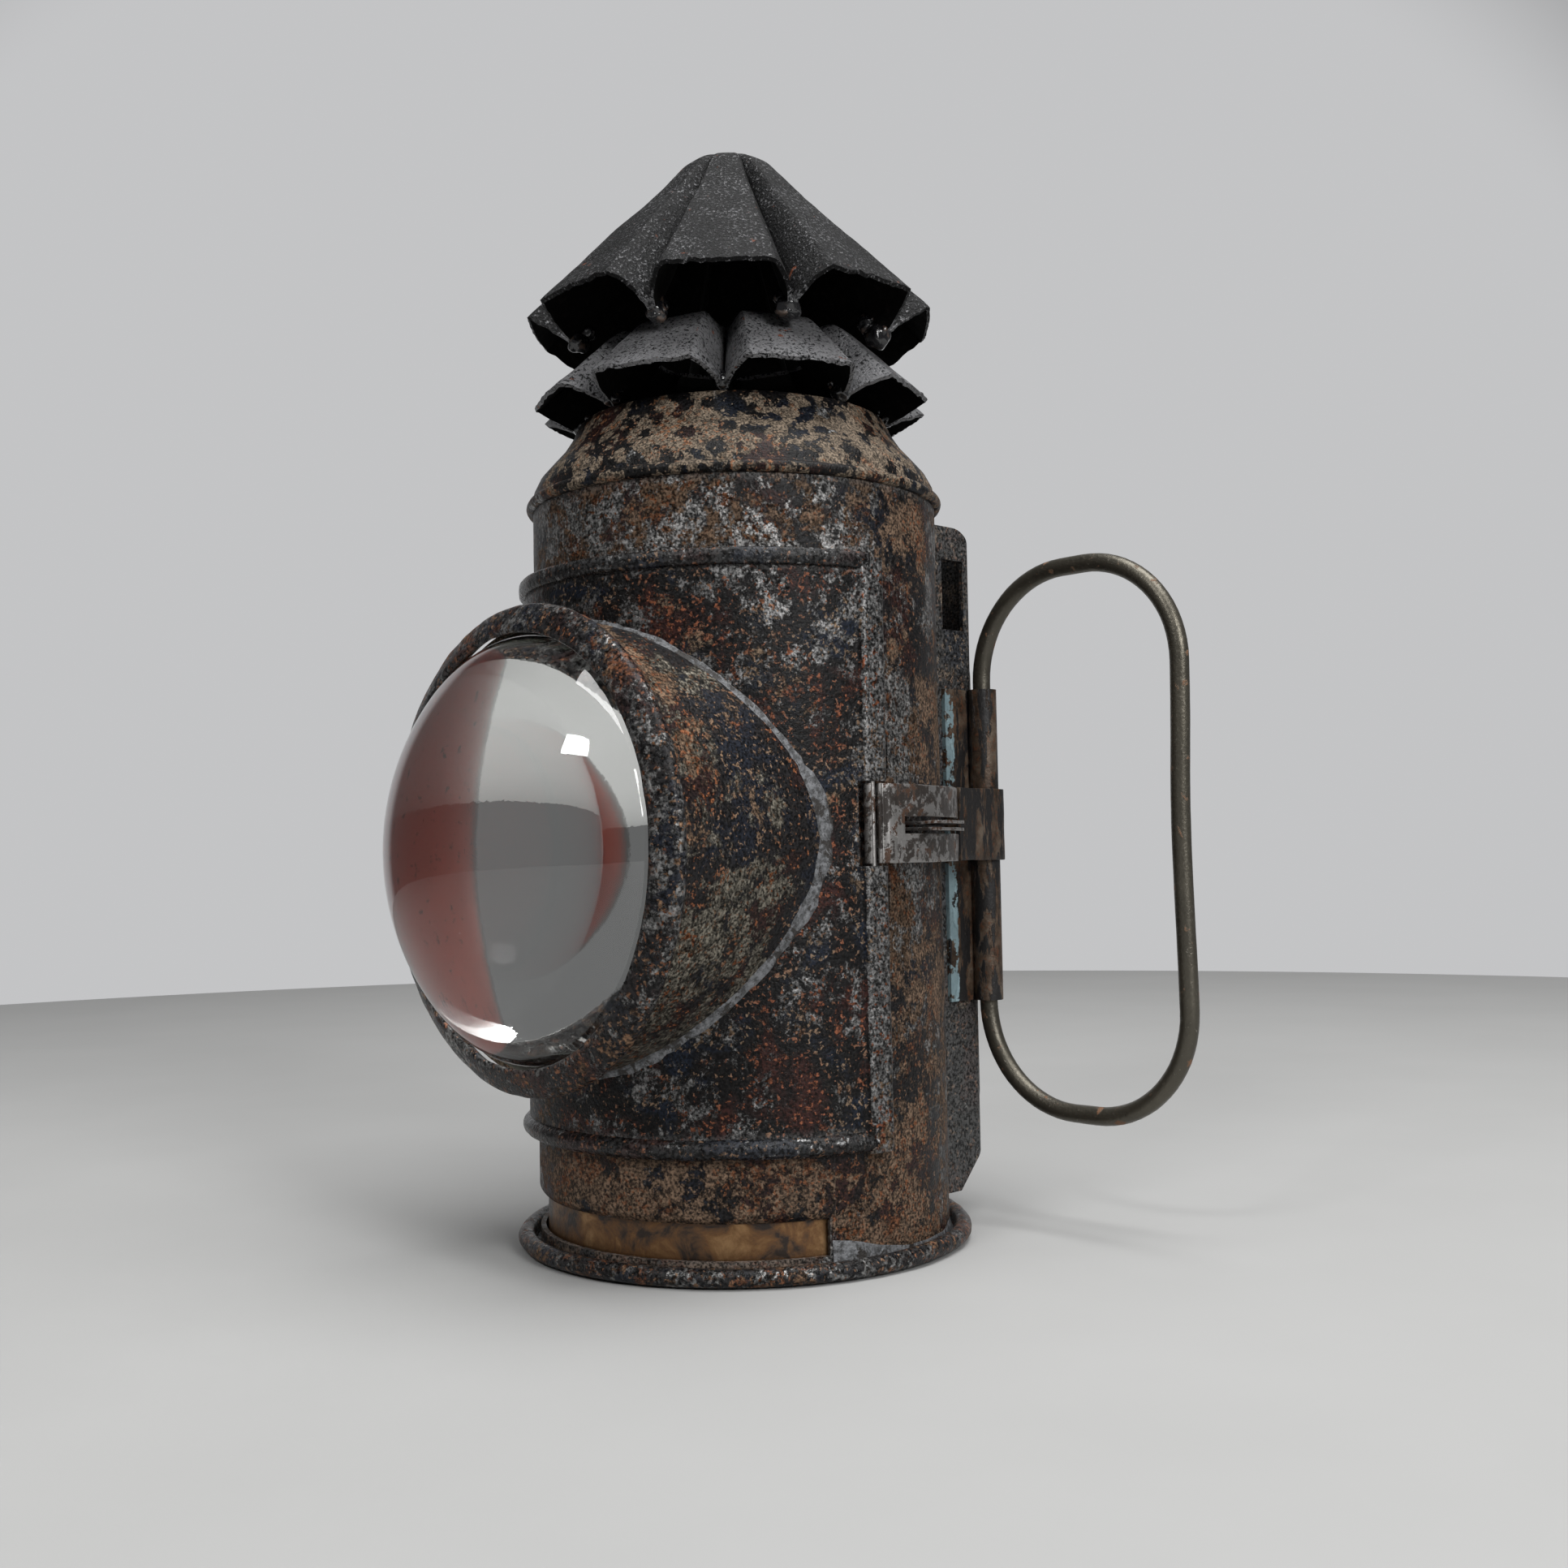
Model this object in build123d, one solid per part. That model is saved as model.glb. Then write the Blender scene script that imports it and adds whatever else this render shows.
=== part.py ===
from build123d import *
from math import acos, atan, cos, hypot, radians, sin
import os

# Candle lantern: a tin hand lantern with a bull's-eye lens in a swinging door.
# Millimetres. +Z up. The origin is on the body's axis, in the plane it stands on.
# The lens looks along -Y, the belt clip and the two wire handles are at +Y.
# Angles round the body are counted from the lens axis (-Y) towards +X.

SHEET = 0.8

# Body
BODY_R = 34.0
BODY_IN = BODY_R - SHEET
SHELL_TOP = 120.5
FRONT_HALF_ANGLE = 69.6
WINDOW_TOP = 103.0
SLOT_BOTTOM = 3.4
BAND_BOTTOM = 8.7
BAND_TOP = 26.9
BASE_RIM_R = 36.25
BASE_RIM_WIRE_R = 1.5
SLIT_ANGLES = (89.4, 90.8)
SLITS = ((54.0, 60.0), (74.6, 81.0))
VENT_ANGLE, VENT_Z, VENT_R = 88.0, 37.7, 1.15
SHOULDER_FOOT = 123.2
SHOULDER_BEAD_R = 0.95
FILLET_W, FILLET_TOP = 0.7, 4.2

# Crimped cap: every fold line runs to a virtual apex on the axis
LOBES = 8
UPPER_APEX, UPPER_FACET, UPPER_GROOVE, UPPER_SLANT = 186.5, 1.045, 0.72, 48.2
LOWER_APEX, LOWER_FACET, LOWER_GROOVE, LOWER_SLANT = 169.4, 1.10, 0.74, 45.3
LOBE_HALF_ANGLE = 14.5
LOWER_TOP = 149.6
CHIMNEY_R = 14.0
CAP_TOP = 183.4
CROWN_JOIN_R, CROWN_JOIN_Z = 6.8, 180.0

# Door
DOOR_R = 35.5
DOOR_IN = DOOR_R - SHEET
DOOR_LEFT, DOOR_RIGHT = -84.0, 86.8
DOOR_BOTTOM, DOOR_TOP = 18.2, 109.0
TOP_BEAD_BOTTOM = 106.2
BOTTOM_BEAD_TOP = 21.6
HEM_LEFT = 80.0
HEM_R = 36.6
HINGE_X = -37.7
HINGE_KNUCKLE_R = 1.9
HINGE_PIN_R = 0.9
HINGE_CENTRES = (34.0, 92.0)
HINGE_HALF = 9.0
HINGE_MIDDLE_HALF = 2.9
HINGE_GAP_HALF = 3.2

# Lens and its housing, along the lens axis from the body's axis
LENS_Z = 64.5
ROOT_Z, ROOT_HALF_W, ROOT_HALF_H, ROOT_D = 65.5, 33.0, 35.5, 12.0
FRONT_R, FRONT_D = 34.6, 42.0
LENS_R, LENS_BACK, LENS_EDGE = 32.9, 41.0, 41.5
DOME_RISE = 17.3
DOME_CAP_R = 28.4
BEZEL_R, BEZEL_WIRE_R = 35.9, 1.5
SEAM_W, SEAM_H = 1.7, 0.75

# Hasp
HASP_BOTTOM, HASP_TOP = 61.5, 73.6
HASP_ANGLE = 82.5
HASP_PIN_AT_R = 35.65
HASP_PIN_R = 0.45
HASP_PLATE_R = 36.2
HASP_END = 131.0
HASP_SLOT = (66.0, 68.6)
HASP_SLOT_ANGLE = 91.5
STAPLE_R = 39.6
STAPLE_ANGLES = (97.0, 115.0)
STAPLE_LEAVES = ((66.5, 67.0), (67.4, 67.9))

# Back
CHANNEL_HALF_W = 18.7
CHANNEL_BACK = 40.0
CHANNEL_BOTTOM, CHANNEL_TOP = 4.5, 120.3
CHANNEL_CHAMFER_Y, CHANNEL_CHAMFER_Z = 6.5, 7.0
WINDOW_Y, WINDOW_Z = (31.8, 37.4), (102.1, 114.5)
CLIP_HALF_W = 13.5
CLIP_Y = 44.8
CLIP_TOP, CLIP_BEND_TOP, CLIP_BEND, CLIP_CURL, CLIP_TIP = 113.5, 104.0, 96.0, 20.0, 12.0
RIVET_X, RIVET_Z, RIVET_R, RIVET_H = 8.0, 108.5, 2.0, 0.7

# Handles
LEG_X, LEG_Y = 21.25, 39.0
WIRE_R = 1.58
LOOP_W, LOOP_H, LOOP_CORNER = 40.6, 91.7, 18.0
LOOP_Z = 65.0
SLEEVE_BOTTOM, SLEEVE_TOP = 37.2, 91.5
SLEEVE_IN, SLEEVE_OUT = 1.65, 2.5
STRAP_NOSE = (26.5, 26.2)

# Filter drum and candle
DRUM_R = 32.6
DRUM_BOTTOM, COLLAR_TOP, RING_BOTTOM, DRUM_TOP = 1.2, 10.4, 102.0, 108.0
PANE_BORDER = -10.0
POST_HALF_ANGLE = 2.0
DRUM_LIP_R = DRUM_R - 2.4
CANDLE_R = 10.8
CANDLE_TOP = 52.0
SOCKET_R, SOCKET_LIP, SOCKET_TUBE = 17.0, 4.0, 15.0


def profile(points):
    """Closed outline in the (radius, height) half-plane."""
    return Plane.XZ * make_face(Polyline(*points, close=True))


def bar(r0, r1, z0, z1):
    """Rectangular section in the (radius, height) half-plane."""
    return profile([(r0, z0), (r1, z0), (r1, z1), (r0, z1)])


def arc(section, start, end):
    """Section turned about the body's axis between two angles."""
    return Rot(0, 0, start - 90) * revolve(section, Axis.Z, end - start)


def strip(r0, r1, z0, z1, start, end):
    """Curved sheet between two radii, two heights and two angles."""
    return arc(bar(r0, r1, z0, z1), start, end)


def ring(r0, r1, z0, z1):
    return revolve(bar(r0, r1, z0, z1), Axis.Z)


def rod(x, y, r, z0, z1):
    return Pos(x, y, z0) * Cylinder(r, z1 - z0, align=(Align.CENTER, Align.CENTER, Align.MIN))


def on_circle(angle, r):
    return r * sin(radians(angle)), -r * cos(radians(angle))


def along_lens(section):
    """Section in (radius, distance) turned about the lens axis."""
    frame = Plane(origin=(0, 0, LENS_Z), x_dir=(1, 0, 0), z_dir=(0, -1, 0))
    return frame * revolve(section, Axis.Z)


def mirrored(shape):
    return mirror(shape, Plane.YZ)


def around(shape, start=0.0):
    """The shape repeated once for each lobe of the cap."""
    return [Rot(0, 0, start + 360.0 / LOBES * k) * shape for k in range(LOBES)]


# --- body -------------------------------------------------------------------


def base_plate():
    """Flat disc whose edge is rolled over a wire."""
    disc = rod(0, 0, BASE_RIM_R - 0.6, 0, SHEET)
    rim = Plane.XZ * Pos(BASE_RIM_R, BASE_RIM_WIRE_R + 0.2) * Circle(BASE_RIM_WIRE_R)
    return disc + revolve(rim, Axis.Z)


def body_shell():
    """Rolled cylinder, open in front from the base up to the top of the window."""
    shell = ring(BODY_IN, BODY_R, SHEET, SHELL_TOP)
    front = strip(BODY_IN - 1, BODY_R + 1, 0, WINDOW_TOP, -FRONT_HALF_ANGLE, FRONT_HALF_ANGLE)
    shell = shell - front
    for z0, z1 in SLITS:
        shell = shell - strip(BODY_IN - 1, BODY_R + 1, z0, z1, *SLIT_ANGLES)
    x, y = on_circle(VENT_ANGLE, BODY_R)
    shell = shell - Pos(x, y, VENT_Z) * Rot(0, 90, 0) * Cylinder(VENT_R, 4)
    foot = strip(BODY_IN, BODY_R, SHEET, SLOT_BOTTOM, -FRONT_HALF_ANGLE - 1, FRONT_HALF_ANGLE + 1)
    return shell + foot


def front_lower_band():
    """Sheet band below the door; the slot under it shows the drum's collar."""
    half = FRONT_HALF_ANGLE - 0.2
    return strip(BODY_IN, BODY_R, BAND_BOTTOM, BAND_TOP, -half, half)


def shoulder_outline(lift):
    """Outer line of the shoulder from the shell to the mouth, raised by lift."""
    line = [(BODY_R, SHOULDER_FOOT), (32.8, 125.9), (29.1, 130.1), (27.6, 132.4), (26.2, 135.2)]
    return [(r + lift * 0.75, z + lift * 0.66) for r, z in line]


def shoulder_cone():
    """Coned shoulder with a rolled bead where it joins the shell."""
    outer = shoulder_outline(0)
    inner = shoulder_outline(-SHEET)
    cone = profile(outer + inner[::-1])
    skirt = bar(BODY_IN, BODY_R, SHELL_TOP, SHOULDER_FOOT + 0.2)
    bead = Plane.XZ * Pos(BODY_R + 0.15, SHELL_TOP + 1.0) * Circle(SHOULDER_BEAD_R)
    return revolve(cone, Axis.Z) + revolve(skirt, Axis.Z) + revolve(bead, Axis.Z)


def crimped_solid(apex, facet, groove, slant, inset):
    """Eight-lobed pyramid: flat facets with a V groove between each two."""
    points = []
    for k in range(LOBES):
        middle = 360.0 / LOBES * k
        for turn, slope in ((-LOBE_HALF_ANGLE, facet), (LOBE_HALF_ANGLE, facet), (22.5, groove)):
            points.append(on_circle(middle + turn, slope * slant))
    outline = make_face(Polyline(*points, close=True))
    if inset > 0:
        outline = offset(outline, -inset, kind=Kind.INTERSECTION)
    base = Pos(0, 0, apex - slant - inset) * outline
    return loft([base.faces()[0], Vertex(0, 0, apex - 1.35 * inset)], ruled=True)


def crimped_sheet(apex, facet, groove, slant):
    """The folded disc: its edge keeps one distance from the apex."""
    outer = crimped_solid(apex, facet, groove, slant, 0)
    inner = crimped_solid(apex, facet, groove, slant, SHEET)
    return (outer - inner) & (Pos(0, 0, apex) * Sphere(slant))


def cap_upper_tier():
    """Upper crimped disc under a round crown."""
    r, z = CROWN_JOIN_R, CROWN_JOIN_Z
    sheet = crimped_sheet(UPPER_APEX, UPPER_FACET, UPPER_GROOVE, UPPER_SLANT)
    sheet = sheet - rod(0, 0, 3 * r, z, UPPER_APEX + SHEET)
    top_line = [(0, CAP_TOP), (r / 2, CAP_TOP - 0.7), (r, z + 1.3), (r + 1.6, z - 0.4)]
    top = Spline(*top_line, tangents=((1, 0), (0.72, -0.69)))
    under = Polyline(top_line[-1], (r + 0.6, z - 1.2), (r - 2.8, z + 1.4), (0, CAP_TOP - 1.3), top_line[0])
    crown = revolve(Plane.XZ * make_face(top + under), Axis.Z)
    return sheet + crown


def cap_lower_tier():
    """Lower crimped disc, closed on top by a plate with the chimney hole."""
    sheet = crimped_sheet(LOWER_APEX, LOWER_FACET, LOWER_GROOVE, LOWER_SLANT)
    sheet = Rot(0, 0, 22.5) * sheet
    sheet = sheet - rod(0, 0, 40, LOWER_TOP, LOWER_APEX)
    plate = Rot(0, 0, 22.5) * crimped_solid(LOWER_APEX, LOWER_FACET, LOWER_GROOVE, LOWER_SLANT, 0.05)
    plate = plate & rod(0, 0, 40, LOWER_TOP - SHEET, LOWER_TOP)
    plate = plate - rod(0, 0, CHIMNEY_R, LOWER_TOP - 3, LOWER_TOP + 1)
    below = profile([(0, 100), (40, 100)] + shoulder_outline(0.15) + [(0, 135.5)])
    return sheet + plate - revolve(below, Axis.Z)


def solder_blob(r, z, width, height):
    x, y = on_circle(22.5, r)
    return Pos(x, y, z) * scale(Sphere(1.0), (width, width, height))


def cap_solder_upper():
    return Compound(around(solder_blob(26.3, 146.9, 2.0, 2.4)))


def cap_solder_lower():
    return Compound(around(solder_blob(26.6, 134.6, 1.5, 1.7), 22.5))


def base_solder_fillet():
    """Solder run between shell and base, round the back."""
    section = profile([(BODY_R, SHEET), (BODY_R + FILLET_W, SHEET), (BODY_R, FILLET_TOP)])
    return arc(section, FRONT_HALF_ANGLE + 2, 360 - FRONT_HALF_ANGLE - 2)


# --- candle -----------------------------------------------------------------


def candle_socket():
    """Tube for the candle on a lipped saucer."""
    saucer = rod(0, 0, SOCKET_R, SHEET, 2 * SHEET)
    lip = ring(SOCKET_R - SHEET, SOCKET_R, SHEET, SOCKET_LIP)
    tube = ring(CANDLE_R + 0.05, CANDLE_R + SHEET, 2 * SHEET, SOCKET_TUBE)
    return saucer + lip + tube


def candle():
    """Short candle with a melted hollow round the wick."""
    wax = rod(0, 0, CANDLE_R, 2 * SHEET, CANDLE_TOP)
    wax = fillet(wax.edges().sort_by(Axis.Z)[-1], 1.6)
    pool = Pos(0, 0, CANDLE_TOP + 9.0) * Sphere(10.5)
    return wax - pool - rod(0, 0, 0.75, CANDLE_TOP - 12, CANDLE_TOP)


def wick():
    start, bend, tip = CANDLE_TOP - 11, CANDLE_TOP + 5.5, CANDLE_TOP + 7.8
    path = FilletPolyline((0, 0, start), (0, 0, bend), (1.8, 0, tip), radius=2.2)
    return sweep(Plane(origin=path @ 0, z_dir=path % 0) * Circle(0.7), path=path)


# --- filter drum ------------------------------------------------------------


def drum_collar():
    """Lower ring of the drum, turned by a fingertip through the slot."""
    collar = ring(DRUM_R - SHEET, DRUM_R, DRUM_BOTTOM, COLLAR_TOP)
    inner_lip = ring(DRUM_LIP_R, DRUM_R - SHEET, COLLAR_TOP - SHEET, COLLAR_TOP)
    return collar + inner_lip


def drum_top_ring():
    """Upper ring of the drum, lipped like the collar."""
    lip = ring(DRUM_LIP_R, DRUM_R - SHEET, RING_BOTTOM, RING_BOTTOM + SHEET)
    return ring(DRUM_R - SHEET, DRUM_R, RING_BOTTOM, DRUM_TOP) + lip


def drum_posts():
    """Three upright channels that the panes slide into."""
    starts = [PANE_BORDER + 120 * k - POST_HALF_ANGLE for k in range(3)]
    return Compound([strip(DRUM_LIP_R, DRUM_R, COLLAR_TOP, RING_BOTTOM, at, at + 2 * POST_HALF_ANGLE)
                     for at in starts])


def pane(number):
    """Curved glass between two posts."""
    start = PANE_BORDER + 120 * number + POST_HALF_ANGLE + 0.1
    end = PANE_BORDER + 120 * (number + 1) - POST_HALF_ANGLE - 0.1
    return strip(DRUM_R - 2.0, DRUM_R - 1.0, COLLAR_TOP + 0.1, RING_BOTTOM - 0.1, start, end)


# --- hinge ------------------------------------------------------------------


def hinge_knuckles_body():
    """Upper and lower knuckle of each hinge, with a leaf behind on the shell."""
    leaves = []
    for centre in HINGE_CENTRES:
        bottom, top = centre - HINGE_HALF, centre + HINGE_HALF
        for z0, z1 in ((bottom, centre - HINGE_GAP_HALF), (centre + HINGE_GAP_HALF, top)):
            web = Box(2 * HINGE_KNUCKLE_R, 1.1, z1 - z0)
            web = Pos(HINGE_X + HINGE_KNUCKLE_R, 1.35, (z0 + z1) / 2) * web
            knuckle = rod(HINGE_X, 0, HINGE_KNUCKLE_R, z0, z1) + web
            leaf = strip(BODY_R, BODY_R + SHEET, z0, z1, 257.0, 268.2)
            leaves.append((knuckle + leaf) - rod(0, 0, BODY_R, z0 - 1, z1 + 1)
                          - rod(HINGE_X, 0, HINGE_PIN_R + 0.02, z0 - 1, z1 + 1))
    return Compound([s for leaf in leaves for s in leaf.solids()])


def hinge_pins():
    """One wire pin through each hinge."""
    return Compound([rod(HINGE_X, 0, HINGE_PIN_R, c - HINGE_HALF - 0.8, c + HINGE_HALF + 0.8)
                     for c in HINGE_CENTRES])


def hinge_knuckles_door():
    """Middle knuckle of each hinge, with a leaf on the door panel."""
    leaves = []
    for centre in HINGE_CENTRES:
        z0, z1 = centre - HINGE_MIDDLE_HALF, centre + HINGE_MIDDLE_HALF
        leaf = strip(DOOR_R, DOOR_R + SHEET, z0, z1, -84.0, -74.0)
        web = Pos(HINGE_X + 1.3, -2.3, centre) * Box(2.4, 3.4, z1 - z0)
        knuckle = rod(HINGE_X, 0, HINGE_KNUCKLE_R, z0, z1) + web + leaf
        leaves.append(knuckle - rod(HINGE_X, 0, HINGE_PIN_R + 0.06, z0 - 1, z1 + 1)
                      - rod(0, 0, DOOR_R, z0 - 1, z1 + 1))
    return Compound([s for leaf in leaves for s in leaf.solids()])


# --- door -------------------------------------------------------------------


def housing_solid(grow, near, far):
    """Oval-to-round cone frustum that the lens housing is rolled to."""
    def section(d):
        t = (d - ROOT_D) / (FRONT_D - ROOT_D)
        half_w = ROOT_HALF_W + (FRONT_R - ROOT_HALF_W) * t + grow
        half_h = ROOT_HALF_H + (FRONT_R - ROOT_HALF_H) * t + grow
        z = ROOT_Z + (LENS_Z - ROOT_Z) * t
        return Plane(origin=(0, -d, z), x_dir=(1, 0, 0), z_dir=(0, -1, 0)) * Ellipse(half_w, half_h)
    return loft([section(near), section(far)])


def hasp_notch():
    return strip(DOOR_IN - 1, HEM_R + 2, HASP_BOTTOM - 0.4, HASP_TOP + 0.4, 78.6, 90.0)


def hasp_bore(r):
    x, y = on_circle(HASP_ANGLE, HASP_PIN_AT_R)
    return rod(x, y, r, HASP_BOTTOM - 3.6, HASP_TOP + 3.6)


def door_panel():
    """Curved panel with a raised hem on the free edge and the hasp's notch."""
    panel = strip(DOOR_IN, DOOR_R, BOTTOM_BEAD_TOP, TOP_BEAD_BOTTOM, DOOR_LEFT, DOOR_RIGHT)
    hem = strip(DOOR_IN, HEM_R, DOOR_BOTTOM, DOOR_TOP - 0.8, HEM_LEFT, DOOR_RIGHT)
    uprights = hem.edges().filter_by(Axis.Z)
    outer = [edge for edge in uprights if hypot((edge @ 0.5).X, (edge @ 0.5).Y) > HEM_R - 0.2]
    hem = fillet(outer, 0.55)
    panel = panel + hem
    return panel - housing_solid(-SHEET, 4.0, FRONT_D) - hasp_notch() - hasp_bore(HASP_PIN_R + 0.02)


def door_top_bead():
    """Folded strip along the top of the door, squared at its free end."""
    section = fillet(bar(DOOR_IN, 36.4, TOP_BEAD_BOTTOM, DOOR_TOP).vertices(), 0.35)
    return arc(section, DOOR_LEFT, HEM_LEFT - 0.1)


def door_bottom_bead():
    """Edge rolled over a wire along the bottom of the door."""
    section = bar(34.4, 36.6, DOOR_BOTTOM, BOTTOM_BEAD_TOP)
    outer = section.vertices().sort_by(Axis.X)[-2:]
    section = fillet(outer, 1.5)
    return arc(section, DOOR_LEFT, HEM_LEFT - 0.1)


def door_shadow():
    """Everything inside the door panel's outer face."""
    return rod(0, 0, DOOR_R, 0, 130)


def lens_housing():
    """Tapered tube from the door to the bezel."""
    tube = housing_solid(0, 4.0, FRONT_D) - housing_solid(-SHEET, 4.0, FRONT_D)
    return (tube - door_shadow()).solids().sort_by(SortBy.VOLUME)[-1]


def housing_solder_seam():
    """Run of solder on the door round the housing."""
    collar = housing_solid(SEAM_W, 4.0, FRONT_D) - housing_solid(0.02, 4.0, FRONT_D)
    return collar & (rod(0, 0, DOOR_R + SEAM_H, 10, 120) - door_shadow())


def lens_bezel():
    """Rolled ring that closes over the edge of the glass."""
    bead = Plane.XZ * Pos(BEZEL_R, FRONT_D + 1.6) * Circle(BEZEL_WIRE_R)
    outside = [(34.9, 43.0), (35.6, 44.2), (35.4, 45.0), (33.2, 46.3)]
    inside = [(32.75, 46.0), (33.1, 45.2), (34.0, 44.4)]
    lip = profile(outside + inside)
    return along_lens(bead) + along_lens(lip)


def dome_outline():
    """Outer line of the lens: an ellipse near its edge, then a spherical cap."""
    join = acos(DOME_CAP_R / LENS_R)
    tilt = atan(DOME_RISE * cos(join) / (LENS_R * sin(join)))
    cap_r = DOME_CAP_R / sin(tilt)
    centre = LENS_EDGE + DOME_RISE * sin(join) - cap_r * cos(tilt)
    lower = [(LENS_R * cos(join * k / 3), LENS_EDGE + DOME_RISE * sin(join * k / 3)) for k in range(3)]
    upper = [(cap_r * sin(tilt * k / 4), centre + cap_r * cos(tilt * k / 4)) for k in range(4, -1, -1)]
    return lower + upper


def lens_glass():
    """Thick plano-convex lens with a thin cylindrical edge."""
    line = dome_outline()
    dome = Spline(*line, tangents=((0, 1), (-1, 0)))
    rest = Polyline(line[-1], (0, LENS_BACK), (LENS_R, LENS_BACK), (LENS_R, LENS_EDGE))
    return along_lens(Plane.XZ * make_face(dome + rest))


def lens_retainer():
    """Ring soldered inside the housing behind the lens."""
    return along_lens(bar(30.4, 33.6, LENS_BACK - 1.1, LENS_BACK - 0.1))


def hasp_pin():
    x, y = on_circle(HASP_ANGLE, HASP_PIN_AT_R)
    return rod(x, y, HASP_PIN_R, HASP_BOTTOM - 3.4, HASP_TOP + 3.4)


# --- hasp and its keeper ----------------------------------------------------


def hasp_fork():
    """Rolled knuckle and curved plate, slotted from its rear end."""
    x, y = on_circle(HASP_ANGLE, HASP_PIN_AT_R)
    knuckle = rod(x, y, 1.3, HASP_BOTTOM, HASP_TOP)
    plate = strip(HASP_PLATE_R, HASP_PLATE_R + SHEET, HASP_BOTTOM, HASP_TOP, HASP_ANGLE, HASP_END)
    slot = strip(HASP_PLATE_R - 2, HASP_PLATE_R + 2, *HASP_SLOT, HASP_SLOT_ANGLE, HASP_END + 1)
    return (knuckle + plate) - slot - hasp_bore(HASP_PIN_R + 0.06)


def staple_tab():
    """Strip folded into two leaves that stand out through the hasp's slot."""
    leaves = [strip(BODY_R, STAPLE_R, z0, z1, *STAPLE_ANGLES) for z0, z1 in STAPLE_LEAVES]
    fold_end = STAPLE_ANGLES[0] + 0.9
    fold = strip(BODY_R, STAPLE_R, STAPLE_LEAVES[0][0], STAPLE_LEAVES[1][1], STAPLE_ANGLES[0], fold_end)
    return leaves[0] + leaves[1] + fold


def plan_bar(start, end, width, z0, z1):
    """Upright sheet along a straight line in plan."""
    dx, dy = end[0] - start[0], end[1] - start[1]
    length = hypot(dx, dy)
    middle = ((start[0] + end[0]) / 2, (start[1] + end[1]) / 2)
    plane = Plane(origin=(*middle, z0), x_dir=(dx, dy, 0), z_dir=(0, 0, 1))
    return extrude(plane * Rectangle(length, width), z1 - z0)


def keeper_strap():
    """Strap that wraps the right handle's sleeve in line with the hasp."""
    z0, z1 = HASP_BOTTOM + 0.1, HASP_TOP + 0.3
    inner, outer = SLEEVE_OUT + 0.05, SLEEVE_OUT + 0.05 + SHEET
    wrap = rod(LEG_X, LEG_Y, outer, z0, z1) - rod(LEG_X, LEG_Y, inner, z0 - 1, z1 + 1)
    middle = (inner + outer) / 2
    blade = plan_bar((LEG_X + middle, LEG_Y), STRAP_NOSE, SHEET, z0, z1)
    behind = Pos(LEG_X - 6, LEG_Y - 1, (z0 + z1) / 2) * Box(12 - 2 * 1.8, 12, 20)
    ahead = Pos(LEG_X - 0.6, LEG_Y - 4.2, (z0 + z1) / 2) * Box(6.4, 5.2, 20)
    return blade + (wrap - behind - ahead)


# --- back -------------------------------------------------------------------


def channel_outline(half_w, front, back, corner):
    """Plan of the channel, rounded at its two rear corners."""
    corners = [(-half_w, front), (half_w, front), (half_w, back), (-half_w, back)]
    face = make_face(Polyline(*corners, close=True))
    return fillet(face.vertices().sort_by(Axis.Y)[-2:], corner)


def back_channel():
    """Upright box channel behind the shell, with a window in each side wall."""
    front, back = 10, CHANNEL_BACK
    walls = channel_outline(CHANNEL_HALF_W, front, back, 1.8)
    walls -= channel_outline(CHANNEL_HALF_W - SHEET, front - 1, back - SHEET, 1.0)
    walls = extrude(Pos(0, 0, CHANNEL_BOTTOM) * walls, CHANNEL_TOP - CHANNEL_BOTTOM)
    heel = (back - CHANNEL_CHAMFER_Y, CHANNEL_BOTTOM)
    heel_top = (back, CHANNEL_BOTTOM + CHANNEL_CHAMFER_Z)
    corners = [(front, CHANNEL_BOTTOM), heel, heel_top, (back, CHANNEL_TOP), (front, CHANNEL_TOP)]
    side = make_face(Polyline(*corners, close=True))
    side = fillet(side.vertices().sort_by(lambda v: v.X + v.Y)[-1], 5.0)
    side = extrude(Plane.YZ * side, CHANNEL_HALF_W + 1, both=True)
    (y0, y1), (z0, z1) = WINDOW_Y, WINDOW_Z
    window = Pos(0, (y0 + y1) / 2, (z0 + z1) / 2) * Box(4 * CHANNEL_HALF_W, y1 - y0, z1 - z0)
    return (walls & side) - rod(0, 0, BODY_R, 0, CHANNEL_TOP + 1) - window


def belt_clip():
    """Springy strip fixed at its top, with a belt's room in front of it."""
    hug = CHANNEL_BACK + SHEET / 2
    upper = [(0, hug, CLIP_TOP), (0, hug, CLIP_BEND_TOP), (0, CLIP_Y, CLIP_BEND)]
    lower = [(0, CLIP_Y, CLIP_CURL), (0, CLIP_Y - 1.3, CLIP_TIP)]
    path = FilletPolyline(*upper, *lower, radius=4.0)
    start = Plane(origin=path @ 0, x_dir=(1, 0, 0), z_dir=path % 0)
    return sweep(start * Rectangle(2 * CLIP_HALF_W, SHEET), path=path)


def clip_rivets():
    """Two low rivet heads that hold the clip's top."""
    heads = []
    for x in (-RIVET_X, RIVET_X):
        head = Pos(x, CHANNEL_BACK + SHEET, RIVET_Z) * Rot(-90, 0, 0) * rod(0, 0, RIVET_R, 0, RIVET_H)
        heads.append(fillet(head.edges().sort_by(Axis.Y)[-1], 0.5))
    return Compound([s for head in heads for s in head.solids()])


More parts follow.
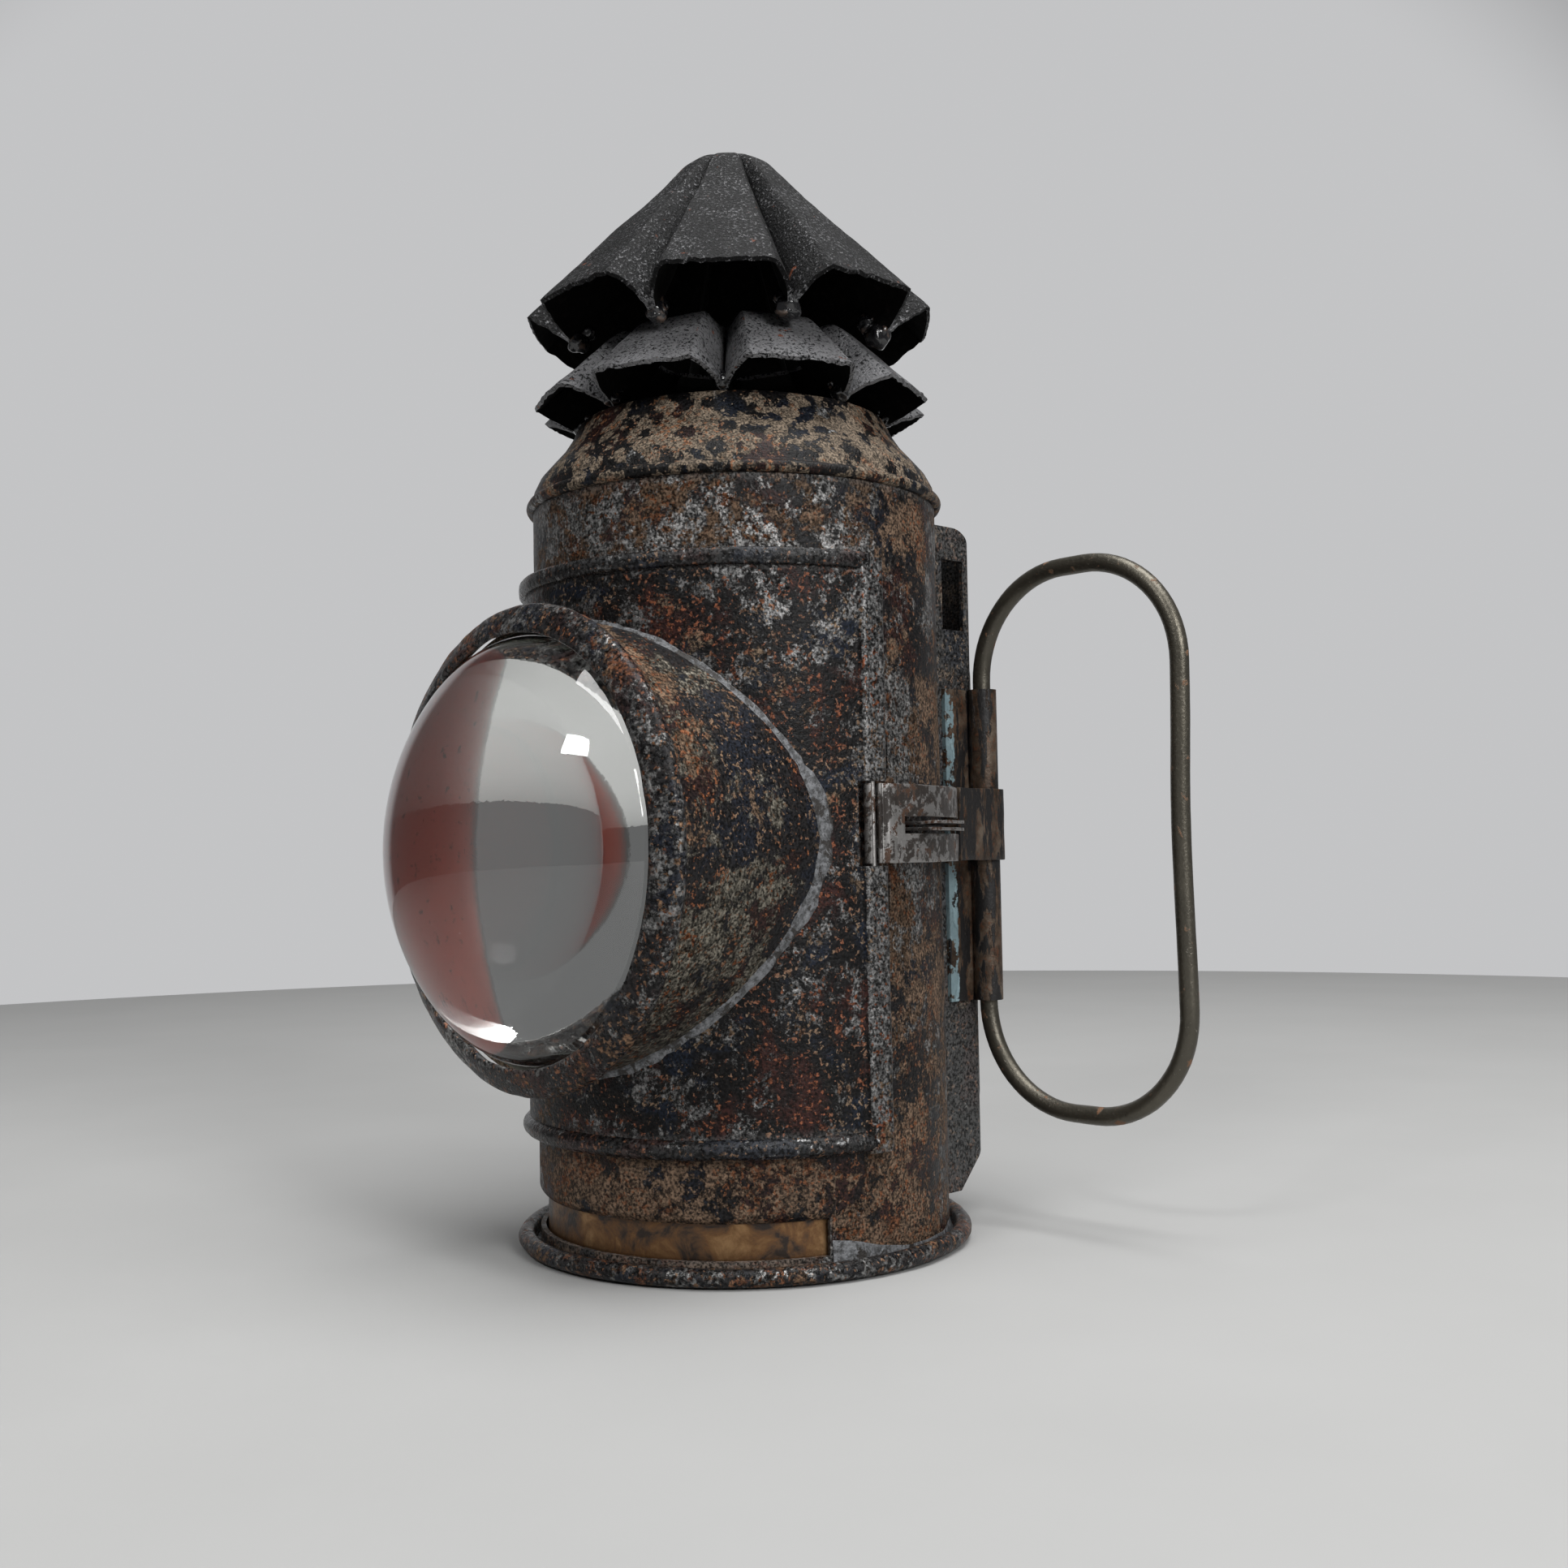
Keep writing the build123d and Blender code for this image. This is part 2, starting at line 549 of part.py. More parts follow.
def handle_sleeve():
    """Sheet cheek on the channel's side, rolled into a sleeve round the wire."""
    z0, z1 = SLEEVE_BOTTOM, SLEEVE_TOP
    sleeve = rod(LEG_X, LEG_Y, SLEEVE_OUT, z0, z1)
    cheek = Pos(CHANNEL_HALF_W + SHEET / 2 + 0.03, 35.2, (z0 + z1) / 2) * Box(SHEET, 8.4, z1 - z0)
    joined = sleeve + cheek - rod(LEG_X, LEG_Y, SLEEVE_IN, z0 - 1, z1 + 1)
    return joined - rod(0, 0, BODY_R, z0 - 1, z1 + 1)


def handle():
    """Wire bent into a long loop; its inner leg turns in the sleeve."""
    frame = Plane(origin=(LEG_X + LOOP_W / 2, LEG_Y, LOOP_Z), x_dir=(1, 0, 0), z_dir=(0, -1, 0))
    path = (frame * RectangleRounded(LOOP_W, LOOP_H, LOOP_CORNER)).wire()
    section = Plane(origin=path @ 0, z_dir=path % 0) * Circle(WIRE_R)
    return sweep(section, path=path)


# ----------------------------------------------------------------------------

NODES = {
    "base_plate": base_plate,
    "body_shell": body_shell,
    "front_lower_band": front_lower_band,
    "shoulder_cone": shoulder_cone,
    "cap_lower_tier": cap_lower_tier,
    "cap_upper_tier": cap_upper_tier,
    "cap_solder_lower": cap_solder_lower,
    "cap_solder_upper": cap_solder_upper,
    "base_solder_fillet": base_solder_fillet,
    "candle_socket": candle_socket,
    "candle": candle,
    "wick": wick,
    "drum_collar": drum_collar,
    "drum_top_ring": drum_top_ring,
    "drum_posts": drum_posts,
    "red_pane": lambda: pane(2),
    "green_pane": lambda: pane(0),
    "hinge_knuckles_body": hinge_knuckles_body,
    "hinge_pins": hinge_pins,
    "hinge_knuckles_door": hinge_knuckles_door,
    "door_panel": door_panel,
    "door_top_bead": door_top_bead,
    "door_bottom_bead": door_bottom_bead,
    "lens_housing": lens_housing,
    "housing_solder_seam": housing_solder_seam,
    "lens_bezel": lens_bezel,
    "lens_glass": lens_glass,
    "lens_retainer": lens_retainer,
    "hasp_pin": hasp_pin,
    "hasp_fork": hasp_fork,
    "staple_tab": staple_tab,
    "keeper_strap": keeper_strap,
    "back_channel": back_channel,
    "belt_clip": belt_clip,
    "clip_rivets": clip_rivets,
    "handle_sleeve_right": handle_sleeve,
    "handle_sleeve_left": lambda: mirrored(handle_sleeve()),
    "handle_right": handle,
    "handle_left": lambda: mirrored(handle()),
}

os.makedirs("parts", exist_ok=True)
for name, make in NODES.items():
    export_step(make(), f"parts/{name}.step")
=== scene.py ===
from math import acos, atan2, cos, hypot, pi, radians, sin, sqrt

import bmesh
import bpy
from mathutils import Matrix, Vector, noise


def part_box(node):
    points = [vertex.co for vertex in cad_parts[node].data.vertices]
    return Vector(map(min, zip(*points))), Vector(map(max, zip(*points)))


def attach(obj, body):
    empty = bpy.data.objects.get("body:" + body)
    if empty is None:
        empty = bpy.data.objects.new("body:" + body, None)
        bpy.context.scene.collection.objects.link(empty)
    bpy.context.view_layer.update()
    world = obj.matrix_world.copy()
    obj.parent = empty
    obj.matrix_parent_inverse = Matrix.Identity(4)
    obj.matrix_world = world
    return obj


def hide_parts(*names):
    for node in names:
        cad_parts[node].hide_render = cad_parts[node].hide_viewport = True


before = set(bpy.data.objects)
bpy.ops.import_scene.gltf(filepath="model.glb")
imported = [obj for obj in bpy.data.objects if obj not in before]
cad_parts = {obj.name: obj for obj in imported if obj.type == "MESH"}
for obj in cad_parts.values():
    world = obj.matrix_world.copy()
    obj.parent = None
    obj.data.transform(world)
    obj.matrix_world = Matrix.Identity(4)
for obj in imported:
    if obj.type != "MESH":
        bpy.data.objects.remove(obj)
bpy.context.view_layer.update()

# Candle lantern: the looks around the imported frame. Lengths below are in millimetres unless a
# name says metres; MM turns them into the frame's metres. Angles round the body are counted
# from the lens axis (-Y) towards +X.
MM = 0.001


def span(node):
    """Lowest and highest corner of a CAD node in millimetres."""
    low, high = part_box(node)
    return [v / MM for v in low], [v / MM for v in high]


shell_low, shell_high = span("body_shell")
BODY_R = shell_high[0]
SHEET = 0.8
FRONT_HALF_ANGLE = 69.6
WINDOW_TOP = 103.0
panel_low, panel_high = span("door_panel")
DOOR_R = BODY_R + 1.5
DOOR_LEFT, DOOR_RIGHT, HEM_LEFT = -84.0, 86.8, 80.0
top_bead_low, top_bead_high = span("door_top_bead")
bottom_bead_low, bottom_bead_high = span("door_bottom_bead")
glass_low, glass_high = span("lens_glass")
LENS_Z = (glass_low[2] + glass_high[2]) / 2
LENS_R = (glass_high[0] - glass_low[0]) / 2
LENS_APEX, LENS_BACK = -glass_low[1], -glass_high[1]
LENS_EDGE, DOME_RISE, DOME_CAP_R = LENS_BACK + 0.5, 17.3, 28.4
ROOT_Z, ROOT_HALF_W, ROOT_HALF_H, ROOT_D = 65.5, 33.0, 35.5, 12.0
FRONT_R, FRONT_D = 34.6, 42.0
hasp_low, hasp_high = span("hasp_fork")
HASP_Z0, HASP_Z1 = hasp_low[2], hasp_high[2]
HASP_ANGLE, HASP_PIN_AT_R = 82.5, 35.65
handle_low, handle_high = span("handle_right")
WIRE_R = (handle_high[1] - handle_low[1]) / 2
LEG_X, LEG_Y = handle_low[0] + WIRE_R, (handle_low[1] + handle_high[1]) / 2
RIM_R = span("base_plate")[1][0]
CAMERA_YAW = 48.0


# --- camera ---


def make_camera():
    """Looks at the lantern from CAMERA_YAW degrees round towards the hasp, a little below the lens."""
    distance, height = 279.1, 62.66
    pan, pitch, roll = radians(-1.575), radians(2.546), radians(-1.047)
    side, ahead = Vector((cos(pan), sin(pan), 0)), Vector((-sin(pan), cos(pan), 0))
    look = ahead * cos(pitch) + Vector((0, 0, sin(pitch)))
    above = Vector((0, 0, cos(pitch))) - ahead * sin(pitch)
    right = side * cos(roll) + above * sin(roll)
    up = above * cos(roll) - side * sin(roll)
    turn = Matrix.Rotation(radians(CAMERA_YAW), 3, "Z")
    place = turn @ Vector((0, -distance, height)) * MM
    axes = [turn @ v for v in (right, up, -look)]
    data = bpy.data.cameras.new("camera")
    data.sensor_width = 36.0
    data.lens = 37.89
    data.clip_start = 0.01
    data.clip_end = 20
    camera = bpy.data.objects.new("camera", data)
    bpy.context.collection.objects.link(camera)
    rotation = Matrix(axes).transposed().to_4x4()
    camera.matrix_world = Matrix.Translation(place) @ rotation
    bpy.context.scene.camera = camera


# --- node helpers ---


def shade(colour, amount):
    return tuple(amount * v for v in colour)


def set_input(tree, socket, value):
    if isinstance(value, bpy.types.NodeSocket):
        tree.links.new(value, socket)
    elif socket.type == "RGBA":
        socket.default_value = (*value, 1)
    else:
        socket.default_value = value


def add_node(tree, kind, inputs, **settings):
    """Makes a node and links or sets its inputs."""
    node = tree.nodes.new(kind)
    for key, value in settings.items():
        setattr(node, key, value)
    for key, value in inputs.items():
        set_input(tree, node.inputs[key], value)
    return node


class Shader:
    """A material under construction. Sizes given to its methods are in millimetres."""

    def __init__(self, name):
        self.material = bpy.data.materials.new(name)
        self.material.use_nodes = True
        self.tree = self.material.node_tree
        self.tree.nodes.clear()
        output = self.tree.nodes.new("ShaderNodeOutputMaterial")
        self.surface = self.tree.nodes.new("ShaderNodeBsdfPrincipled")
        self.tree.links.new(self.surface.outputs[0], output.inputs["Surface"])
        coords = self.tree.nodes.new("ShaderNodeTexCoord")
        self.mm = self.vector("MULTIPLY", coords.outputs["Object"], (1 / MM, 1 / MM, 1 / MM))

    def add(self, kind, inputs, **settings):
        return add_node(self.tree, kind, inputs, **settings)

    def vector(self, operation, a, b):
        return self.add("ShaderNodeVectorMath", {0: a, 1: b}, operation=operation).outputs[0]

    def noise(self, size, detail=4.0, rough=0.55, distort=0.0, shift=(0, 0, 0), at=None):
        """Noise whose features are about size across."""
        moved = self.vector("ADD", at or self.mm, shift)
        inputs = {"Vector": moved, "Scale": 1 / size, "Detail": detail, "Roughness": rough}
        return self.add("ShaderNodeTexNoise", {**inputs, "Distortion": distort}).outputs["Fac"]

    def math(self, operation, a, b):
        return self.add("ShaderNodeMath", {0: a, 1: b}, operation=operation).outputs[0]

    def plus(self, total, *values):
        for value in values:
            total = self.math("ADD", total, value)
        return total

    def minus(self, a, b):
        return self.math("SUBTRACT", a, b)

    def times(self, a, b):
        return self.math("MULTIPLY", a, b)

    def step(self, value, low, high, out_low=0.0, out_high=1.0):
        """Smooth ramp of value between low and high."""
        inputs = {"Value": value, "From Min": low, "From Max": high, "To Min": out_low, "To Max": out_high}
        return self.add("ShaderNodeMapRange", inputs, interpolation_type="SMOOTHSTEP").outputs[0]

    def mix(self, fac, a, b):
        """Colour a where fac is 0, b where it is 1."""
        return self.add("ShaderNodeMix", {0: fac, 6: a, 7: b}, data_type="RGBA").outputs[2]

    def ramp(self, value, stops):
        node = self.add("ShaderNodeValToRGB", {"Fac": value})
        ends = node.color_ramp.elements
        while len(ends) < len(stops):
            ends.new(0.5)
        for end, (place, colour) in zip(ends, stops):
            end.position = place
            end.color = (*colour, 1)
        return node.outputs["Color"]

    def finish(self, colour, rough, metal, height, depth, **sockets):
        """Sets the surface; height is bumped by depth."""
        bump = self.add("ShaderNodeBump", {"Strength": 1.0, "Distance": depth * MM, "Height": height})
        values = {"Base Color": colour, "Roughness": rough, "Metallic": metal, "Normal": bump.outputs[0]}
        values.update({name.replace("_", " "): value for name, value in sockets.items()})
        for name, value in values.items():
            set_input(self.tree, self.surface.inputs[name], value)
        return self.material


def wear_mask(s):
    """Bright on outer corners and rims."""
    geometry = s.add("ShaderNodeNewGeometry", {})
    return s.step(geometry.outputs["Pointiness"], 0.515, 0.60)


def aged_tin(name, coat, tan, rust, scuff=(0.17, 0.17, 0.168),
             scuff_size=9.0, scuff_at=0.56, tan_size=6.0, tan_at=0.56, rust_at=0.60, speck_at=0.74,
             grain_size=0.45, red=0.5, blue=0.35, gloss=0.40, wear=0.4, flaky=0.76, seed=0.0,
             more_tan=None, more_scuff=None):
    """Black-painted sheet: ragged flakes of grey metal, tan oxide and orange rust under a sandy grain.

    coat is the paint's brightness; scuff, tan and rust are colours; a lower _at shows more of that layer.
    more_tan and more_scuff take the shader and give a field that adds to those layers in places.
    """
    s = Shader(name)
    zones = s.noise(24.0, 2.0, 0.5, shift=(seed * 3 + 11, 5, 7))
    grain = s.noise(grain_size, 2.0, 0.6)
    fine = s.noise(1.1, 4.0, 0.7, shift=(seed, 41, 3))
    scuffs = s.noise(scuff_size, 12.0, 0.78, 0.15, shift=(seed + 57, 9, 13))
    tans = s.noise(tan_size, 12.0, flaky, 0.15, shift=(seed, 17, 29))
    rusts = s.noise(5.0, 10.0, 0.80, 0.2, shift=(seed + 5, 77, 21))
    tints = s.noise(11.0, 3.0, 0.55, 0.4, shift=(seed + 31, 2, 63))
    lean = s.times(s.minus(zones, 0.5), 0.35)

    tan_field = s.plus(tans, lean)
    if more_tan is not None:
        tan_field = s.plus(tan_field, more_tan(s))
    scuff_field = s.minus(scuffs, s.times(lean, 0.6))
    if more_scuff is not None:
        scuff_field = s.plus(scuff_field, more_scuff(s))
    tan_mask = s.step(tan_field, tan_at - 0.012, tan_at + 0.018)
    scuff_mask = s.step(scuff_field, scuff_at - 0.015, scuff_at + 0.025)
    rust_mask = s.step(s.plus(rusts, s.times(lean, 0.4)), rust_at - 0.01, rust_at + 0.02)
    specks = s.noise(0.85, 2.0, 0.6, 0.3, shift=(seed + 3, 61, 8))
    speck_mask = s.step(s.plus(specks, s.times(tan_field, 0.3)), speck_at, speck_at + 0.04)

    dark = s.mix(s.step(tints, 0.52, 0.64, 0.0, red), (coat, 0.95 * coat, coat), (0.026, 0.008, 0.006))
    dark = s.mix(s.step(tints, 0.46, 0.38, 0.0, blue), dark, (0.006, 0.011, 0.022))
    dark = s.mix(s.step(fine, 0.54, 0.66, 0.0, 0.30), dark, shade(tan, 0.30))
    metal_tone = s.mix(s.step(fine, 0.35, 0.62), shade(scuff, 0.30), shade(scuff, 1.6))
    oxide = s.ramp(fine, [(0.36, shade(tan, 0.40)), (0.50, tan), (0.68, shade(tan, 1.5))])
    rusty = s.mix(s.step(fine, 0.38, 0.60), shade(rust, 0.45), rust)
    colour = s.mix(scuff_mask, dark, metal_tone)
    colour = s.mix(tan_mask, colour, oxide)
    colour = s.mix(rust_mask, colour, rusty)
    colour = s.mix(speck_mask, colour, s.mix(s.step(tints, 0.42, 0.56), shade(tan, 1.2), shade(rust, 1.1)))
    edges = s.times(wear_mask(s), wear)
    colour = s.mix(edges, colour, scuff)
    sand = s.step(grain, 0.34, 0.66, 0.22, 2.0)
    colour = s.vector("MULTIPLY", colour, sand)

    metal = s.math("MAXIMUM", s.times(scuff_mask, 0.75), s.times(edges, 0.7))
    rough = s.plus(s.times(tan_mask, 0.25), gloss, s.times(s.minus(grain, 0.5), 0.5))
    flakes = s.plus(s.times(tan_mask, 0.35), s.times(scuff_mask, -0.25))
    height = s.plus(flakes, s.times(grain, 0.55), s.times(fine, 0.7))
    return s.finish(colour, rough, metal, height, 0.22, Specular_IOR_Level=0.16)


def along(s, axis, start, full, amount):
    """Adds up to amount between two places on an axis, in millimetres."""
    parts = s.add("ShaderNodeSeparateXYZ", {0: s.mm})
    return s.step(parts.outputs[axis], start, full, 0.0, amount)


def near_point(s, point, near, far, amount):
    """Adds amount within near of a point, fading to nothing at far."""
    gap = s.add("ShaderNodeVectorMath", {0: s.mm, 1: point}, operation="DISTANCE")
    return s.step(gap.outputs["Value"], near, far, amount, 0.0)


def cap_paint():
    """Thick matte black paint with a sandy grain, bright where the grain is rubbed and where its tops hold
    painted glints, rust on its chips.
    """
    s = Shader("cap_black_paint")
    grain = s.noise(0.50, 3.0, 0.7)
    broad = s.noise(8.0, 5.0, 0.6)
    low = along(s, 2, 151.0, 148.5, 0.19)
    chips = s.noise(2.6, 6.0, 0.65, 0.5, shift=(5, 60, 2))
    field = s.plus(grain, s.times(s.minus(broad, 0.5), 0.22), low)
    rubbed = s.step(field, 0.46, 0.62)
    # painted highlight: the brightest grain tops stand for glints of light as well as rubbed paint
    bright = s.step(field, 0.60, 0.66)
    rust_mask = s.step(chips, 0.665, 0.68)
    colour = s.mix(rubbed, (0.0015, 0.0015, 0.0016), (0.011, 0.011, 0.012))
    colour = s.mix(bright, colour, (0.17, 0.17, 0.175))
    colour = s.mix(rust_mask, colour, (0.19, 0.060, 0.030))
    rough = s.minus(0.62, s.times(rubbed, 0.24))
    height = s.plus(grain, s.times(rust_mask, -0.4))
    return s.finish(colour, rough, s.times(rubbed, 0.35), height, 0.45, Specular_IOR_Level=0.20)


def soot_and_painted_shade():
    """Dead black inside of the cap: soot, and painted shade where the inside lies in shadow."""
    s = Shader("cap_soot_and_painted_shade")
    flakes = s.noise(1.3, 5.0, 0.6)
    # painted shade: the near-black colour stands for shade inside the cap as well as soot
    colour = s.mix(s.step(flakes, 0.5, 0.75), (0.0016, 0.0015, 0.0014), (0.0065, 0.0055, 0.0050))
    return s.finish(colour, 0.95, 0.0, flakes, 0.12, Specular_IOR_Level=0.1)


def lining_painted_reflection():
    """Inside of the housing: bare tin plate with a patchy red tint, a painted reflection of the red pane, and
    dull grey next to the bezel as painted shade.
    """
    s = Shader("lining_painted_reflection")
    lining_patches = s.noise(14.0, 4.0, 0.55)
    fine = s.noise(0.8, 4.0, 0.6)
    # painted reflection: the red tint stands for the red pane's light mirrored in the tin
    colour = s.mix(lining_patches, (0.26, 0.060, 0.042), (0.36, 0.105, 0.075))
    colour = s.mix(s.step(fine, 0.60, 0.72), colour, (0.08, 0.030, 0.020))
    # painted shade: dull grey next to the bezel
    shaded = s.mix(lining_patches, (0.020, 0.022, 0.018), (0.050, 0.052, 0.042))
    colour = s.mix(along(s, 1, -36.0, -39.5, 1.0), colour, shaded)
    rough = s.plus(s.times(fine, 0.2), 0.22)
    return s.finish(colour, rough, 0.35, fine, 0.03)


def dull_solder(name="dull_solder", dark=(0.045, 0.046, 0.047), light=(0.20, 0.205, 0.215), dirt_at=0.50):
    """Grey solder, lumpy, with paint and flux left over much of it."""
    s = Shader(name)
    lumps = s.noise(0.9, 5.0, 0.7)
    dirt = s.step(s.noise(4.0, 9.0, 0.75, 0.3, shift=(3, 8, 1)), dirt_at, dirt_at + 0.035)
    grain = s.noise(0.30, 2.0)
    colour = s.mix(s.step(lumps, 0.34, 0.66), dark, light)
    colour = s.mix(dirt, colour, (0.016, 0.013, 0.011))
    rough = s.plus(s.times(grain, 0.35), 0.32)
    height = s.plus(lumps, s.times(grain, 0.3))
    return s.finish(colour, rough, s.step(dirt, 0.0, 1.0, 0.35, 0.0), height, 0.22)


def glossy_drip():
    """Black paint gathered over solder."""
    s = Shader("glossy_black_drip")
    lumps = s.noise(1.6, 3.0, 0.5)
    colour = s.mix(s.step(lumps, 0.55, 0.68), (0.007, 0.007, 0.008), (0.07, 0.045, 0.032))
    return s.finish(colour, s.step(lumps, 0.3, 0.8, 0.12, 0.4), 0.0, lumps, 0.35, Coat_Weight=0.6)


def handle_wire():
    """Dark olive steel wire with fine drawn marks, pits and rust at the bends."""
    s = Shader("handle_wire_steel")
    stain = s.noise(9.0, 4.0, 0.6, 0.3)
    pits = s.noise(0.55, 3.0, 0.6)
    rust_mask = s.step(s.noise(3.2, 7.0, 0.65, 0.4, shift=(9, 4, 31)), 0.60, 0.66)
    colour = s.mix(stain, (0.050, 0.046, 0.038), (0.135, 0.122, 0.095))
    colour = s.mix(rust_mask, colour, (0.17, 0.085, 0.043))
    colour = s.mix(s.step(pits, 0.66, 0.74), colour, (0.26, 0.24, 0.20))
    rough = s.plus(s.times(rust_mask, 0.3), s.times(pits, 0.35), 0.20)
    height = s.plus(pits, s.times(rust_mask, 0.4))
    return s.finish(colour, rough, s.step(rust_mask, 0, 1, 0.75, 0.1), height, 0.08)


def worn_steel():
    """Dark brown steel rubbed bright on its edges and high spots."""
    s = Shader("worn_dark_steel")
    rub = s.noise(1.8, 8.0, 0.72, 0.2, shift=(0, 2, 5))
    stain = s.noise(6.0, 4.0, 0.6, shift=(0, 12, 15))
    rust_mask = s.step(s.noise(3.0, 8.0, 0.7, shift=(4, 31, 9)), 0.56, 0.59)
    rubbed = s.plus(rub, s.times(s.minus(stain, 0.5), 0.5), s.times(wear_mask(s), 0.22))
    mask = s.step(rubbed, 0.48, 0.56)
    colour = s.mix(mask, (0.022, 0.017, 0.014), (0.34, 0.33, 0.32))
    colour = s.mix(rust_mask, colour, (0.060, 0.030, 0.017))
    rough = s.plus(s.times(rub, 0.40), 0.18)
    metal = s.times(mask, s.minus(0.9, s.times(rust_mask, 0.7)))
    return s.finish(colour, rough, metal, s.plus(rub, s.times(rust_mask, 0.3)), 0.16)


def brassy_tin():
    """Tarnished brassy sheet with dark and rusty stains."""
    s = Shader("brassy_collar")
    stain = s.noise(5.0, 7.0, 0.62, 0.5)
    fine = s.noise(0.7, 4.0)
    dark, middle, bright = (0.020, 0.012, 0.008), (0.15, 0.075, 0.032), (0.34, 0.20, 0.095)
    colour = s.ramp(stain, [(0.40, dark), (0.52, middle), (0.68, bright)])
    rough = s.plus(s.times(fine, 0.3), 0.22)
    return s.finish(colour, rough, s.step(stain, 0.4, 0.6, 0.25, 0.85), fine, 0.06)


def brown_tin(name, painted):
    """Dark brown tin with black streaks; if painted, a strip next to the channel keeps its pale blue."""
    s = Shader(name)
    stain = s.noise(5.0, 8.0, 0.70, 0.2)
    fine = s.noise(0.8, 5.0, 0.65)
    tall = s.vector("MULTIPLY", s.mm, (1, 1, 0.22))
    black = s.step(s.noise(2.4, 8.0, 0.7, 0.2, shift=(40, 2, 9), at=tall), 0.50, 0.525)
    place = s.add("ShaderNodeSeparateXYZ", {0: s.mm})
    by_channel = s.step(place.outputs[1], 32.8, 34.2, 0.10 if painted else -0.3, -0.3)
    blue = s.step(s.plus(s.noise(4.0, 8.0, 0.7, 0.2, shift=(3, 71, 9)), by_channel), 0.56, 0.585)
    dark, middle, pale = (0.022, 0.014, 0.009), (0.075, 0.050, 0.034), (0.135, 0.105, 0.078)
    colour = s.ramp(stain, [(0.38, dark), (0.52, middle), (0.66, pale)])
    colour = s.mix(s.step(fine, 0.55, 0.62, 0.0, 0.6), colour, (0.12, 0.045, 0.020))
    colour = s.mix(black, colour, (0.010, 0.009, 0.009))
    colour = s.mix(blue, colour, s.mix(fine, (0.13, 0.20, 0.225), (0.27, 0.36, 0.385)))
    rough = s.plus(s.times(fine, 0.35), 0.24)
    height = s.plus(s.times(black, 0.5), fine)
    return s.finish(colour, rough, s.step(black, 0, 1, 0.35, 0.0), height, 0.12, Specular_IOR_Level=0.35)


def lens_glass():
    """Clear thick glass with faint wipe marks."""
    s = Shader("bulls_eye_glass")
    haze = s.noise(9.0, 5.0, 0.6, 0.8)
    specks = s.step(s.noise(0.9, 2.0, 0.5, shift=(9, 2, 4)), 0.73, 0.78)
    rough = s.plus(s.step(haze, 0.55, 0.75, 0.0, 0.05), s.times(specks, 0.15))
    return s.finish((0.97, 0.985, 0.965), rough, 0.0, haze, 0.01, Transmission_Weight=1.0, IOR=1.5)


def pane_glass(name, deep, pale):
    """Coloured pane, a little milky so that its colour shows in front light."""
    s = Shader(name)
    cloud = s.noise(12.0, 3.0, 0.5)
    dust = s.noise(0.8, 4.0, 0.6)
    rough = s.step(dust, 0.3, 0.8, 0.12, 0.35)
    return s.finish(s.mix(cloud, deep, pale), rough, 0.0, dust, 0.02, Transmission_Weight=0.12, IOR=1.5)


def wax():
    s = Shader("candle_wax")
    cloud = s.noise(5.0, 3.0)
    colour = s.mix(cloud, (0.62, 0.55, 0.40), (0.80, 0.74, 0.60))
    return s.finish(colour, 0.45, 0.0, cloud, 0.1, Subsurface_Weight=0.4, Subsurface_Scale=0.004)


def charred_cotton():
    s = Shader("charred_cotton")
    strand = s.noise(0.5, 3.0)
    return s.finish(s.mix(strand, (0.008, 0.007, 0.006), (0.10, 0.085, 0.07)), 0.9, 0.0, strand, 0.15)


# --- mesh helpers ---


def lump(p, size, seed=0.0):
    """Smooth noise between about -1 and 1 with features of that size."""
    return noise.noise(Vector(p) / size + Vector((seed, seed * 1.7, -seed)))


def on_circle(angle, r, z):
    return (r * sin(radians(angle)), -r * cos(radians(angle)), z)


def steps(start, end, size, *extra):
    """Values from start to end about size apart, with the extra ones put in."""
    count = max(1, round(abs(end - start) / size))
    values = {round(start + (end - start) * k / count, 4) for k in range(count + 1)}
    for value in extra:
        near = min(values, key=lambda v: abs(v - value))
        if near not in (round(start, 4), round(end, 4)) and abs(near - value) < size * 0.45:
            values.discard(near)
        values.add(round(value, 4))
    return sorted(values)


def round_edges(obj, width, limit):
    edge = obj.modifiers.new("edge", "BEVEL")
    edge.width = width * MM
    edge.segments = 2
    edge.limit_method = "ANGLE"
    edge.angle_limit = radians(limit)


def piece(name, shape, material, body, stands_for, sheet=0.0, bevel=0.0, smooth_angle=38.0,
          even=True, lining=None):
    """Object of the shape's vertices and faces that rides on a body and may stand for a CAD node.

    sheet thickens an open shape inwards; lining is the material of its inner face.
    """
    verts, faces = shape
    mesh = bpy.data.meshes.new(name)
    mesh.from_pydata([tuple(c * MM for c in v) for v in verts], [], faces)
    mesh.validate()
    obj = bpy.data.objects.new(name, mesh)
    bpy.context.collection.objects.link(obj)
    if sheet:
        solid = obj.modifiers.new("sheet", "SOLIDIFY")
        solid.thickness = sheet * MM
        solid.offset = -1.0
        solid.use_even_offset = even
        solid.use_quality_normals = True
        solid.material_offset = 1 if lining else 0
    if bevel:
        round_edges(obj, bevel, 38)
    mesh.materials.append(material)
    if lining:
        mesh.materials.append(lining)
    if obj.modifiers:
        baked = bpy.data.meshes.new_from_object(obj.evaluated_get(bpy.context.evaluated_depsgraph_get()))
        obj.modifiers.clear()
        obj.data = baked
        baked.name = name
    obj.data.polygons.foreach_set("use_smooth", [True] * len(obj.data.polygons))
    obj.data.set_sharp_from_angle(angle=radians(smooth_angle))
    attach(obj, body)
    if stands_for:
        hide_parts(stands_for)
    return obj


